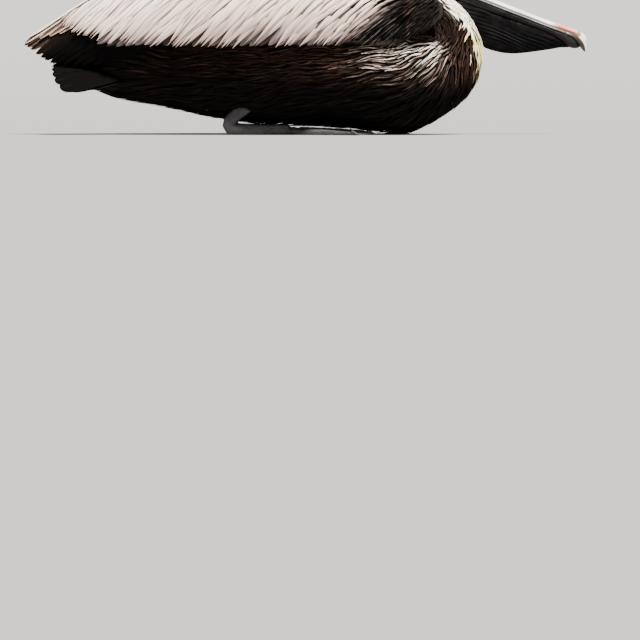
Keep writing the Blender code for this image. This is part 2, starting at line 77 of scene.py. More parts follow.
def ease(low, high, x):
    """0 up to low, 1 from high on, with a smooth change between; it falls with x where low is over high."""
    t = np.clip((x - low) / (high - low), 0.0, 1.0)
    return t * t * (3 - 2 * t)


def swell(x, middle, width):
    """A smooth bump of height 1 round a middle."""
    return np.exp(-(((x - middle) / width) ** 2))


def mix(a, b, share):
    return a + (b - a) * share


def circle(count):
    """Angles evenly round a circle."""
    return np.arange(count) * 2 * math.pi / count


def colours(base, count):
    return np.tile(np.array(base, float), (count, 1))


def blend_colour(colour, other, share):
    """Mixes an array of colours with another colour by a share for each."""
    return mix(colour, np.asarray(other, float), np.asarray(share)[:, None])


def waves(points, size, seed, count=7):
    """Smooth values from about -1 to 1 in space, with swells of about this size."""
    rng = np.random.default_rng(seed)
    ways = unit(rng.normal(size=(count, 3))) * 2 * math.pi / (size * rng.uniform(0.7, 1.6, (count, 1)))
    shifts = rng.uniform(0, 2 * math.pi, count)
    return np.sin(points @ ways.T + shifts).sum(-1) / math.sqrt(count)


# ---- Reading the CAD solids ----
def node_triangles(node):
    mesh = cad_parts[node].data
    mesh.calc_loop_triangles()
    points = np.array([v.co for v in mesh.vertices])
    return points, np.array([t.vertices[:] for t in mesh.loop_triangles])


def section(corners, at):
    """Where the plane at this first coordinate cuts triangles: segments in the other two coordinates."""
    low, segments = corners[:, :, 0] - at, []
    for tri, side in zip(corners, low):
        hits = []
        for a, b in ((0, 1), (1, 2), (2, 0)):
            if side[a] * side[b] < 0:
                share = side[a] / (side[a] - side[b])
                hits.append(mix(tri[a, 1:], tri[b, 1:], share))
        if len(hits) == 2:
            segments.append(hits)
    return np.array(segments)


def outermost(segments, centre, angles):
    """Distance from a centre to the last segment crossed in each direction of a section."""
    ways = np.stack([np.cos(angles), np.sin(angles)], -1)
    start, run = segments[:, 0] - centre, segments[:, 1] - segments[:, 0]
    cross = ways[:, None, 0] * run[None, :, 1] - ways[:, None, 1] * run[None, :, 0]
    cross = np.where(np.abs(cross) < 1e-12, 1e-12, cross)
    reach = (start[None, :, 0] * run[None, :, 1] - start[None, :, 1] * run[None, :, 0]) / cross
    share = (start[None, :, 0] * ways[:, None, 1] - start[None, :, 1] * ways[:, None, 0]) / cross
    reach = np.where((share >= -1e-6) & (share <= 1 + 1e-6) & (reach > 0), reach, 0.0)
    return reach.max(1)


def smooth_rows(grid, sigma, axis):
    """Gaussian smoothing of a grid along one axis, its ends held."""
    reach = int(3 * sigma) + 1
    weights = np.exp(-0.5 * (np.arange(-reach, reach + 1) / sigma) ** 2)
    weights /= weights.sum()
    grid = np.moveaxis(grid, axis, 0)
    # Beyond an end, the grid goes on as its mirror image through that end.
    before = 2 * grid[:1] - grid[1 : reach + 1][::-1]
    after = 2 * grid[-1:] - grid[-reach - 1 : -1][::-1]
    padded = np.concatenate([before, grid, after])
    out = sum(w * padded[k : k + len(grid)] for k, w in enumerate(weights))
    return np.moveaxis(out, 0, axis)


# ---- Making meshes ----
def set_layer(mesh, name, values):
    """Writes four numbers for each point, or three and a 1, as a layer that materials read."""
    if values.shape[1] == 3:
        values = np.concatenate([values, np.ones((len(values), 1))], 1)
    layer = mesh.attributes.new(name, "FLOAT_COLOR", "POINT")
    layer.data.foreach_set("color", np.ascontiguousarray(values, np.float32).ravel())


def add_object(name, data):
    obj = bpy.data.objects.new(name, data)
    bpy.context.scene.collection.objects.link(obj)
    return obj


def ring_faces(m, n):
    """The corners of the four-sided faces between m closed rings of n points each, in a row."""
    r, k = np.meshgrid(np.arange(m - 1), np.arange(n), indexing="ij")
    nxt = (k + 1) % n
    return np.stack([r * n + k, r * n + nxt, (r + 1) * n + nxt, (r + 1) * n + k], -1).reshape(-1)


def make_mesh(name, points, loops, sizes, surface, uv=None):
    """A mesh object from numpy arrays: the corners of all faces in a row, and each face's corner count."""
    mesh = bpy.data.meshes.new(name)
    mesh.vertices.add(len(points))
    mesh.vertices.foreach_set("co", np.ascontiguousarray(points, np.float32).ravel())
    mesh.loops.add(len(loops))
    mesh.loops.foreach_set("vertex_index", np.ascontiguousarray(loops, np.int32))
    mesh.polygons.add(len(sizes))
    mesh.polygons.foreach_set("loop_start", np.concatenate([[0], np.cumsum(sizes)[:-1]]).astype(np.int32))
    mesh.polygons.foreach_set("loop_total", np.asarray(sizes, np.int32))
    mesh.update(calc_edges=True)
    if uv is not None:
        layer = mesh.uv_layers.new(name="OFBake")
        layer.data.foreach_set("uv", np.ascontiguousarray(uv[loops], np.float32).ravel())
    mesh.shade_smooth()
    mesh.materials.append(surface)
    return add_object(name, mesh)


def grown(node, grow, cut=None):
    """A CAD solid moved out from its own surface by a little; cut is a plane's (point, way) to end it at."""
    part = bmesh.new()
    part.from_mesh(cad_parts[node].data)
    bmesh.ops.remove_doubles(part, verts=part.verts, dist=1e-6)
    if cut:
        point, way = cut
        everything = [*part.verts, *part.edges, *part.faces]
        made = bmesh.ops.bisect_plane(part, geom=everything, plane_co=point, plane_no=way, clear_inner=True)
        rim = [edge for edge in made["geom_cut"] if isinstance(edge, bmesh.types.BMEdge)]
        bmesh.ops.holes_fill(part, edges=rim)
    bmesh.ops.recalc_face_normals(part, faces=part.faces)
    part.normal_update()
    for vertex, step in [(v, v.normal * grow) for v in part.verts]:
        vertex.co += step
    mesh = bpy.data.meshes.new("part")
    part.to_mesh(mesh)
    part.free()
    return mesh


def remeshed(joined, voxel, smooth_rounds=0):
    """Solids that may run into each other, given as one bmesh, as one mesh of small even faces."""
    mesh = bpy.data.meshes.new("joined")
    joined.to_mesh(mesh)
    joined.free()
    obj = add_object("joined", mesh)
    remesh = obj.modifiers.new("Remesh", "REMESH")
    remesh.mode, remesh.voxel_size = "VOXEL", voxel
    if smooth_rounds:
        smooth = obj.modifiers.new("Smooth", "SMOOTH")
        smooth.factor, smooth.iterations = 0.5, smooth_rounds
    bpy.context.view_layer.update()
    fine = bpy.data.meshes.new_from_object(obj.evaluated_get(bpy.context.evaluated_depsgraph_get()))
    bpy.data.objects.remove(obj)
    return fine


PATCH = 0.0029  # size of a vane's own patch in the map OFBake


class Coat:
    """Gathers vanes of plumage, closed lens-shaped solids, into one mesh."""

    def __init__(self):
        self.points, self.loops, self.sizes, self.uv = [], [], [], []
        self.tint, self.rim, self.vane, self.count = [], [], [], 0

    def add(self, spine, normal, width, tint, rim, band, place, across, camber, roll, seed, lean=0.0):
        """Adds n vanes of k stations and a tip, with `across` points round each station.

        spine and normal are (n, k + 1, 3), width is (n, k) half widths, place is (n, 2) in the unwrap.
        band is the share of each half width that takes the tint, and the rest takes the rim colour;
        lean moves that middle band to one side, in half widths.
        camber hollows the vanes, and roll tilts them, both in half widths."""
        n, k = width.shape
        rng = np.random.default_rng(seed + 17)
        along = unit(np.gradient(spine, axis=1))
        side = unit(np.cross(normal, along))
        lift = unit(np.cross(along, side))
        a = np.linspace(-1, 1, across)
        roll = np.broadcast_to(np.asarray(roll, float), (n,))
        rise = (camber * (1 - a * a))[None, None, :] + roll[:, None, None] * a[None, None, :]
        w = width[:, :, None]
        body = spine[:, :k, None] + side[:, :k, None] * (w * a)[..., None]
        body = body + lift[:, :k, None] * (w * rise)[..., None]
        points = np.concatenate([body.reshape(n, k * across, 3), spine[:, k:]], 1)
        run = np.cumsum(np.linalg.norm(np.diff(spine, axis=1), axis=-1), axis=1)
        s = np.concatenate([np.zeros((n, 1)), run / run[:, -1:]], 1)
        s_all = np.concatenate([np.repeat(s[:, :k], across, 1), s[:, k:]], 1)
        a_all = np.concatenate([np.tile(a, k), [0.0]])
        stride = k * across + 1
        # What the material reads: the place across and along, a chance number, and the length in 0.1 m.
        vane = np.empty((n, stride, 4))
        vane[..., 0], vane[..., 1] = a_all * 0.5 + 0.5, s_all
        vane[..., 2], vane[..., 3] = rng.random(n)[:, None], run[:, -1:] * 10
        patch = np.stack([np.broadcast_to(a_all * 0.5, s_all.shape), s_all - 0.5], -1) * PATCH
        uv = place[:, None] + patch

        ring, last = np.arange(across), (k - 1) * across
        tips = np.stack([ring + last, (ring + 1) % across + last, np.full(across, k * across)], -1)
        one = np.concatenate([ring_faces(k, across), tips.ravel(), ring[::-1]])
        one_sizes = np.concatenate([np.full(last, 4), np.full(across, 3), [across]])
        self.points.append(points.reshape(-1, 3))
        self.loops.append((one[None] + self.count + stride * np.arange(n)[:, None]).ravel())
        self.sizes.append(np.tile(one_sizes, n))
        self.uv.append(uv.reshape(-1, 2))
        for store, values, fourth in ((self.tint, tint, band), (self.rim, rim, lean)):
            if values.ndim == 2:
                values = np.repeat(values[:, None], k + 1, 1)
            values = np.concatenate([np.repeat(values[:, :k], across, 1), values[:, k:]], 1)
            alpha = np.broadcast_to(np.broadcast_to(fourth, (n,))[:, None, None], (n, stride, 1))
            store.append(np.concatenate([values, alpha], -1).reshape(-1, 4))
        self.vane.append(vane.reshape(-1, 4))
        self.count += n * stride

    def build(self, name, surface):
        points = np.concatenate(self.points)
        points[:, 2] = np.maximum(points[:, 2], OVER_FLOOR)
        sizes, loops = np.concatenate(self.sizes), np.concatenate(self.loops)
        obj = make_mesh(name, points, loops, sizes, surface, np.clip(np.concatenate(self.uv), 0, 1))
        for layer, values in (("Tint", self.tint), ("Rim", self.rim), ("Vane", self.vane)):
            set_layer(obj.data, layer, np.concatenate(values))
        obj.data.set_sharp_from_angle(angle=math.radians(70))
        print("piece", name, int((sizes - 2).sum()), "triangles")
        return obj


def stations(k, crowd=1.0):
    """k + 1 places from a vane's root (0) to its tip (1), closer towards the tip where crowd is over 1."""
    return 1 - (1 - np.linspace(0, 1, k + 1)) ** crowd


def blade(s, shape):
    """Share of the full half width at each of a vane's stations but the last, its tip."""
    s = s[:-1]
    if shape == "lance":  # widest at a third, then a long taper
        return (0.35 + 0.65 * ease(0, 0.3, s)) * (1 - ease(0.35, 1.0, s)) ** 0.6
    if shape == "round":  # an even width, with a broad rounded end
        return (0.5 + 0.5 * ease(0, 0.25, s)) * np.sqrt(1 - s**16)
    return (0.5 + 0.5 * ease(0, 0.15, s)) * np.sqrt(np.clip(1 - s**2.6, 0.02, 1))  # a flight feather


# ---- Materials ----
class Material:
    """A node material with a Principled shader, and short ways to add nodes to it."""

    def __init__(self, name, roughness=0.6, **constants):
        self.surface = bpy.data.materials.new(name)
        self.surface.use_nodes = True
        self.tree = self.surface.node_tree
        self.shader = self.tree.nodes["Principled BSDF"]
        self.shader.inputs["Roughness"].default_value = roughness
        for key, value in constants.items():
            self.shader.inputs[key.replace("_", " ")].default_value = value

    def node(self, kind, inputs=(), **settings):
        made = self.tree.nodes.new("ShaderNode" + kind)
        for key, value in settings.items():
            setattr(made, key, value)
        for key, value in dict(inputs).items():
            if isinstance(value, bpy.types.NodeSocket):
                self.tree.links.new(value, made.inputs[key])
            else:
                made.inputs[key].default_value = value
        return made

    def math(self, operation, *values):
        return self.node("Math", dict(enumerate(values)), operation=operation).outputs[0]

    def remap(self, value, low, high, to_low=0.0, to_high=1.0):
        inputs = {"Value": value, "From Min": low, "From Max": high, "To Min": to_low, "To Max": to_high}
        return self.node("MapRange", inputs, interpolation_type="SMOOTHSTEP").outputs[0]

    def mix_colour(self, share, a, b, kind="MIX"):
        made = self.node("Mix", data_type="RGBA", blend_type=kind)
        for index, value in ((0, share), (6, a), (7, b)):
            if isinstance(value, bpy.types.NodeSocket):
                self.tree.links.new(value, made.inputs[index])
            else:
                made.inputs[index].default_value = value if index == 0 else (*value, 1.0)
        return made.outputs[2]

    def fade(self, value, low, high, a, b):
        """Colour a where the value is at low, and b where it is at high."""
        return self.mix_colour(self.remap(value, low, high), a, b)

    def scaled(self, colour, value):
        grey = self.node("CombineColor", {0: value, 1: value, 2: value}).outputs[0]
        return self.mix_colour(1.0, colour, grey, "MULTIPLY")

    def attribute(self, name):
        return self.node("Attribute", attribute_name=name, attribute_type="GEOMETRY").outputs

    def parts(self, name):
        """The first three numbers of a mesh layer."""
        return self.node("SeparateXYZ", {0: self.attribute(name)["Vector"]}).outputs

    def place(self):
        return self.node("TexCoord").outputs["Object"]

    def noise(self, scale, detail=3.0, rough=0.55, vector=None):
        inputs = {"Vector": vector or self.place(), "Scale": scale, "Detail": detail, "Roughness": rough}
        return self.node("TexNoise", inputs).outputs["Fac"]

    def colour(self, socket):
        self.tree.links.new(socket, self.shader.inputs["Base Color"])

    def rough(self, socket):
        self.tree.links.new(socket, self.shader.inputs["Roughness"])

    def bump(self, height, strength=0.4, distance=0.001):
        made = self.node("Bump", {"Height": height, "Strength": strength, "Distance": distance})
        self.tree.links.new(made.outputs[0], self.shader.inputs["Normal"])


def plumage_material(name, soft, barbs, shaft=0.0):
    """Vanes with one colour down the middle and another along the edges, and fine barbs."""
    m = Material(name, 0.88, Specular_IOR_Level=0.03)
    tint, rim, vane = m.attribute("Tint"), m.attribute("Rim"), m.attribute("Vane")
    across, along, chance = m.parts("Vane")
    off = m.math("ABSOLUTE", m.math("SUBTRACT", m.math("MULTIPLY_ADD", across, 2.0, -1.0), rim["Alpha"]))
    ragged = m.math("MULTIPLY_ADD", m.noise(420.0), 0.5, -0.25)
    # The middle band narrows a little towards the vane's tip.
    band = m.math("MULTIPLY", tint["Alpha"], m.remap(along, 0.55, 1.0, 1.0, 0.8))
    edge = m.remap(m.math("SUBTRACT", m.math("ADD", off, ragged), band), -soft, soft)
    body = m.mix_colour(edge, tint["Color"], rim["Color"])
    # Barbs slant from the shaft towards the tip; they are spaced by the vane's real length.
    run = m.math("MULTIPLY", along, m.math("MULTIPLY", vane["Alpha"], 420.0))
    barb = m.math("SINE", m.math("SUBTRACT", run, m.math("MULTIPLY", off, 5.0)))
    shade = m.math("MULTIPLY_ADD", chance, 0.22, 0.89)
    body = m.scaled(body, m.math("MULTIPLY", m.math("MULTIPLY_ADD", barb, barbs, 1.0), shade))
    if shaft:
        body = m.mix_colour(m.remap(off, 0.05, 0.11, shaft, 0.0), body, (0.006, 0.0045, 0.0038))
    m.colour(body)
    m.bump(m.math("ADD", barb, m.math("MULTIPLY", off, -0.6)), 0.25, 0.0004)
    return m.surface


def skin_material():
    m = Material("down", 0.85, Specular_IOR_Level=0.15)
    m.colour(m.scaled(m.attribute("Tint")["Color"], m.remap(m.noise(260.0, 4.0), 0.3, 0.75, 0.55, 1.15)))
    m.bump(m.noise(500.0, 3.0), 0.6, 0.001)
    return m.surface


# ---- The body's surface ----
CELL = 0.006  # places taken on the surface are listed by cubes of space of this size


def cell_of(point):
    return tuple(int(p // CELL) for p in point)


def crowded(point, gap, taken):
    """Whether a place that is taken lies nearer to the point than the gap."""
    (x, y, z), reach, limit = point, int(gap // CELL) + 1, gap * gap
    for key in itertools.product(*(range(k - reach, k + reach + 1) for k in cell_of(point))):
        for ox, oy, oz in taken.get(key, ()):
            if (ox - x) ** 2 + (oy - y) ** 2 + (oz - z) ** 2 < limit:
                return True
    return False


class Hull:
    """The body's smooth outline: trunk, neck, head and the wings' thick parts, with no seams."""

    PARTS = ("trunk", "neck_lower", "neck_upper", "head", "wing_left", "wing_right")
    VOXEL, SWELL = 0.0032, 0.0006
    # Behind this slanting plane the wings are feathers only.
    WING_CUT, WING_CUT_WAY = (-0.205, 0.0, 0.200), (0.63, 0.0, 0.78)

    def __init__(self):
        joined = bmesh.new()
        for node in self.PARTS:
            cut = (self.WING_CUT, self.WING_CUT_WAY) if node.startswith("wing") else None
            joined.from_mesh(grown(node, self.SWELL, cut))
        whole = remeshed(joined, self.VOXEL)
        self.points = np.array([v.co for v in whole.vertices])
        self.faces = np.array([p.vertices[:] for p in whole.polygons])
        self.keep_outer_shell()
        self.smooth(14)
        self.normals = self.point_normals()
        self.face_normals = unit(self.normals[self.faces].mean(1))
        self.tree = BVHTree.FromPolygons(self.points.tolist(), self.faces.tolist())

    def sides(self):
        """The two ends of each face's sides."""
        return self.faces.ravel(), np.roll(self.faces, -1, 1).ravel()

    def keep_outer_shell(self):
        """Drops closed-in hollows, which no one sees."""
        group = np.arange(len(self.points))
        a, b = self.sides()
        while True:
            low = np.minimum(group[a], group[b])
            new = group.copy()
            np.minimum.at(new, a, low)
            np.minimum.at(new, b, low)
            new = new[new]
            if (new == group).all():
                break
            group = new
        keep = group == np.bincount(group).argmax()
        index = np.cumsum(keep) - 1
        self.faces = index[self.faces[keep[self.faces].all(1)]]
        self.points = self.points[keep]

    def smooth(self, rounds):
        a, b = self.sides()
        number = np.bincount(a, minlength=len(self.points)) + np.bincount(b, minlength=len(self.points))
        for turn in range(rounds * 2):
            total = np.zeros_like(self.points)
            np.add.at(total, a, self.points[b])
            np.add.at(total, b, self.points[a])
            step = total / number[:, None] - self.points
            # Every second step swells what the first one shrank.
            self.points += step * (0.6 if turn % 2 == 0 else -0.56)

    def point_normals(self):
        p = self.points[self.faces]
        cross = np.cross(p[:, 2] - p[:, 0], p[:, 3] - p[:, 1])
        out = np.zeros_like(self.points)
        for k in range(4):
            np.add.at(out, self.faces[:, k], cross)
        return unit(out)

    def nearest(self, points):
        """The surface's nearest places to these points, with its smooth normals there."""
        found = [self.tree.find_nearest(p) for p in points.tolist()]
        return np.array([f[0] for f in found]), self.face_normals[[f[2] for f in found]]

    def on_wing(self, points=False):
        """Which faces, or points, belong to a wing."""
        at = self.points if points else self.points[self.faces].mean(1)
        trees = []
        for group in (("wing_left", "wing_right"), ("trunk", "neck_lower", "neck_upper", "head")):
            parts, faces, count = [], [], 0
            for node in group:
                corners, triangles = node_triangles(node)
                parts.append(corners)
                faces.append(triangles + count)
                count += len(corners)
            trees.append(BVHTree.FromPolygons(np.concatenate(parts).tolist(), np.concatenate(faces).tolist()))
        far = [np.array([tree.find_nearest(p)[3] for p in at.tolist()]) for tree in trees]
        return far[0] < far[1]

    def scatter(self, spacing, seed):
        """Places spread over the surface, no two closer than spacing(point) allows."""
        rng = np.random.default_rng(seed)
        p = self.points[self.faces]
        area = np.linalg.norm(np.cross(p[:, 2] - p[:, 0], p[:, 3] - p[:, 1]), axis=1) / 2
        gap = spacing(p.mean(1))
        hope = np.where(gap > 0, area / np.maximum(gap, 1e-4) ** 2, 0.0) * 3.2
        number = rng.poisson(hope)
        face = np.repeat(np.arange(len(p)), number)
        u, v = rng.random((2, len(face), 1))
        q = p[face]
        points = mix(mix(q[:, 0], q[:, 1], u), mix(q[:, 3], q[:, 2], u), v)
        order = rng.permutation(len(face))
        taken, kept = {}, []
        for i in order:
            if not crowded(points[i], gap[face[i]], taken):
                taken.setdefault(cell_of(points[i]), []).append(tuple(points[i]))
                kept.append(i)
        kept = np.array(kept)
        return points[kept], self.face_normals[face[kept]]

    def trail(self, start, length, k, heading, sway=0.0, seed=0):
        """Lines of k steps over the surface from each start, each step along the heading there."""
        points, (here, normal) = [], self.nearest(start)
        normals, turn = [normal], np.random.default_rng(seed).normal(0, sway, len(start))
        points.append(here)
        for _ in range(k):
            way = heading(here)
            way = unit(way - normal * (way * normal).sum(-1, keepdims=True))
            way = unit(way + np.cross(normal, way) * np.tan(turn)[:, None])
            here, normal = self.nearest(here + way * (length / k)[:, None])
            points.append(here)
            normals.append(normal)
        return np.stack(points, 1), np.stack(normals, 1)


# ---- Where a point lies on the body ----
def fine_line():
    """The spine line's points, radii and counting, close together."""
    line, radius = np.array(SPINE_LINE), np.array(SPINE_RADIUS)
    at = np.linspace(0, len(line) - 1, 160)
    k = np.arange(len(line))
    line = np.stack([np.interp(at, k, line[:, 0]), np.interp(at, k, line[:, 1])], -1)
    line = smooth_rows(line, 5, 0)
    return line, np.interp(at, k, radius), at


def spine_frame(points):
    """For each point: its place along the spine line, its distance from that in radii, the line's way there,
    and how far it is on the throat's side, from -1 to 1."""
    line, radius, at = fine_line()
    along = unit(np.gradient(line, axis=0))
    near, far = np.empty(len(points), int), np.empty(len(points))
    for start in range(0, len(points), 5000):
        part = points[start : start + 5000]
        gap = part[:, None, [0, 2]] - line[None]
        reach = np.sqrt((gap**2).sum(-1) + part[:, None, 1] ** 2) / radius
        near[start : start + 5000] = reach.argmin(1)
        far[start : start + 5000] = reach.min(1)
    off = points[:, [0, 2]] - line[near]
    way = along[near]
    below = (off * np.stack([-way[:, 1], way[:, 0]], -1)).sum(-1)
    throat = below / np.hypot(np.linalg.norm(off, axis=1), points[:, 1])
    way = np.stack([way[:, 0], np.zeros(len(way)), way[:, 1]], -1)
    return at[near], far, way, throat


def heading(points):
    """The lie of the plumage: back over the head, down the neck, fanned over the breast, then back."""
    at, far, along_neck, _ = spine_frame(points)
    dx, dz = BREAST_ORIGIN[0] - points[:, 0], BREAST_ORIGIN[1] - points[:, 2]
    # Lines fan out from the foreneck and bend level as they run back.
    level = mix(1.0, 0.30, ease(0.085, 0.180, np.hypot(dx, dz)))
    fall = np.clip(np.degrees(np.arctan2(dz, dx)), -4, 105) * level
    front = shoulder(points, 0.100)
    lie = np.radians(mix(fall, 33.0, front))
    body = np.stack([-np.cos(lie), np.zeros(len(lie)), -np.sin(lie)], -1)
    neck = (1 - ease(1.12, 1.35, far)) * (1 - ease(10.3, 11.3, at))
    way = unit(body * (1 - neck)[:, None] + along_neck * neck[:, None])
    loose = mix(0.35, 1.0, ease(8.5, 10.5, at)) * (1 - 0.7 * front)
    way[:, 2] += (waves(points, 0.045, 5) * 0.16 + waves(points, 0.016, 6) * 0.13) * loose
    way[:, 1] += waves(points, 0.03, 7) * 0.08 * loose
    return unit(way)


def shoulder(points, start=0.128):
    """1 on the folded wing's dark front edge, 0 elsewhere."""
    x, y, z = points.T
    edge = np.interp(x, (0.10, 0.15, 0.178), (0.114, 0.127, 0.146))
    return ease(start, start + 0.014, x) * ease(-0.001, 0.004, z - edge) * (np.abs(y) > 0.050)


# Plumage colours, linear
BLACK_BROWN = (0.0055, 0.0042, 0.0038)
BROWN = (0.060, 0.028, 0.018)
CHESTNUT = (0.0155, 0.0064, 0.0042)
CHESTNUT_SHADE = (0.0028, 0.0018, 0.0016)
# partly the breast's own silvery streaks, partly painted highlight
SUNLIT_PINK_SILVER = (0.70, 0.56, 0.49)
WHITE = (0.96, 0.91, 0.78)
YELLOW = (0.95, 0.73, 0.30)
SILVER = (0.98, 0.915, 0.79)
DUSK = (0.64, 0.455, 0.40)
CROWN = (0.80, 0.68, 0.36)
THIN_LINE = (0.36, 0.32, 0.29)  # down the middle of the dark coverts at the wing's front


def body_colours(points):
    """Colours of the middle and of the edges of the plumage at places on the body."""
    at, far, _, throat = spine_frame(points)
    x, z = points[:, 0], points[:, 2]
    n = len(points)
    rag = waves(points, 0.006, 21) * 0.10 + waves(points, 0.018, 22) * 0.06
    # Flanks brown, the breast with pinkish-silver streaks, and black below: partly the plumage's own colours
    # and partly painted light, the brown band and the bright streaks being painted highlight where the light
    # falls, and the black painted shade underneath.
    flank = ease(0.055, 0.100, z + rag * 0.04) * mix(0.25, 1.0, ease(-0.16, 0.06, x))
    glow = ease(0.072, 0.108, z + rag * 0.08) * ease(0.045, 0.135, x + rag * 0.1)
    glow = glow * (1 - 0.85 * ease(0.160, 0.200, x))
    glow = glow * (1 - 0.94 * ease(0.112, 0.125, z) * ease(0.105, 0.128, x))
    tint = blend_colour(colours(BLACK_BROWN, n), BROWN, flank * 0.85)
    tint = blend_colour(tint, SUNLIT_PINK_SILVER, glow)
    rim = colours(BLACK_BROWN, n) * 0.8
    # Thin pale lines on the dark plumes at the wing's front edge, fading lower down as painted shade.
    thin_lines = np.array(THIN_LINE) * mix(0.05, 0.7, ease(0.165, 0.195, z))[:, None]
    tint = mix(tint, thin_lines, shoulder(points)[:, None])
    # The back between the wings, silvery.
    back = ease(0.165, 0.185, z) * (1 - ease(0.02, 0.09, x)) * ease(1.1, 1.3, far)
    tint, rim = blend_colour(tint, SILVER, back), blend_colour(rim, DUSK, back)
    # Neck: chestnut behind and at the sides, white to yellow in front.
    on_neck = (1 - ease(1.10, 1.32, far)) * ease(2.2, 2.9, at)
    on_neck = on_neck * np.where(at > 10.5, ease(0.060, 0.095, z), 1.0)
    # In the shade of the wing's front corner the chestnut is nearly black.
    sunny = 1 - 0.88 * ease(0.202, 0.182, x) * ease(0.116, 0.132, z) * (at > 5)
    tint = mix(tint, np.array(CHESTNUT) * sunny[:, None], (on_neck * np.where(at > 10.0, 0.85, 1.0))[:, None])
    rim = blend_colour(rim, CHESTNUT_SHADE, on_neck)
    limit = np.interp(at, WHITE_AT, WHITE_FROM)
    front = ease(limit - 0.04, limit + 0.04, throat + rag) * (1 - ease(1.15, 1.3, far)) * ease(2.6, 3.2, at)
    front = front * np.where(at > 8, ease(0.074, 0.090, z), 1.0)
    gold = ease(0.166, 0.118, z) * (at > 8)
    pale = blend_colour(colours(WHITE, n), YELLOW, gold * 0.85)
    tint, rim = blend_colour(tint, pale, front), blend_colour(rim, pale * 0.8, front)
    # Head: white, with a yellow wash over the crown, and the nape's dark stripe.
    on_head = (1 - ease(2.6, 3.2, at)) * (1 - ease(1.2, 1.45, far))
    crown = ease(0.25, -0.35, throat)
    cap = blend_colour(colours(WHITE, n), CROWN, crown * 0.8)
    tint, rim = blend_colour(tint, cap, on_head), blend_colour(rim, cap * 0.75, on_head)
    nape = ease(2.3, 3.3, at + rag * 2) * ease(-0.40, -0.72, throat + rag * 1.5) * (at < 4)
    tint, rim = blend_colour(tint, CHESTNUT, nape), blend_colour(rim, CHESTNUT_SHADE, nape)
    return tint, rim


# ---- Unwraps of the body: places along a part and around it, for the plumage's own map ----
def on_map(along, around):
    """Places on the map, drawn in a little from its edges."""
    return np.clip(np.stack([along, around], -1), 0, 1) * 0.98 + 0.01


def trunk_unwrap(points):
    low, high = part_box("trunk")
    along = (points[:, 0] - low.x) / (high.x - low.x)
    return on_map(along, np.arctan2(points[:, 1], points[:, 2] - 0.11) / (2 * math.pi) + 0.5)


def neck_unwrap(points):
    at, _, _, throat = spine_frame(points)
    turn = np.arccos(np.clip(throat, -1, 1)) * np.where(points[:, 1] < 0, -1, 1)
    return on_map(at / (len(SPINE_LINE) - 1), turn / (2 * math.pi) + 0.5)


# ---- The coat of head, neck and trunk ----
# Plumes' length, half width, spacing and the coat's depth, in mm. Each row has the size along the spine line,
# the size on the flanks, what it gains on the underside, the back and the rear, and the size on the wing's
# front edge.
NECK_AT = (0.0, 1.2, 2.6, 4.0, 7.0, 9.0, 10.5, 11.5, 12.5)
COAT_SIZES = (
    ((4.6, 7.0, 11.0, 15.0, 19.0, 22.0, 26.0, 33.0, 36.0), 38.0, (4.0, 22.0, 8.0), 22.0),
    ((0.60, 0.80, 1.1, 1.4, 1.7, 1.8, 2.0, 2.4, 2.6), 2.6, (0.7, 1.5, 1.4), 1.9),
    ((1.35, 1.65, 2.2, 2.7, 3.0, 3.1, 3.5, 4.3, 4.6), 4.6, (1.6, 2.6, 1.6), 3.6),
    ((0.9, 1.4, 2.5, 4.0, 5.0, 5.5, 6.0, 7.0, 7.0), 7.0, (1.0, 0.0, 0.0), 4.5),
)


def plumage_sizes(points):
    """Length, half width, spacing and depth of the coat, in metres, at places on the body."""
    at, far, _, throat = spine_frame(points)
    x, _, z = points.T
    neck = (1 - ease(1.15, 1.4, far)) * (1 - ease(11.4, 12.2, at))
    regions = (ease(0.075, 0.035, z), ease(0.150, 0.175, z) * ease(0.10, 0.05, x), ease(-0.12, -0.22, x))
    front = shoulder(points)
    sizes = []
    for along_neck, flank, gains, on_wing in COAT_SIZES:
        size = flank + sum(gain * region for gain, region in zip(gains, regions))
        size = mix(size, np.interp(at, NECK_AT, along_neck), neck)
        sizes.append(mix(size, on_wing, front) / 1000)
    crest = ease(2.2, 2.9, at) * ease(5.0, 4.0, at) * ease(-0.3, -0.6, throat) * neck
    sizes[0] = sizes[0] * (1 + 0.9 * crest)
    return sizes


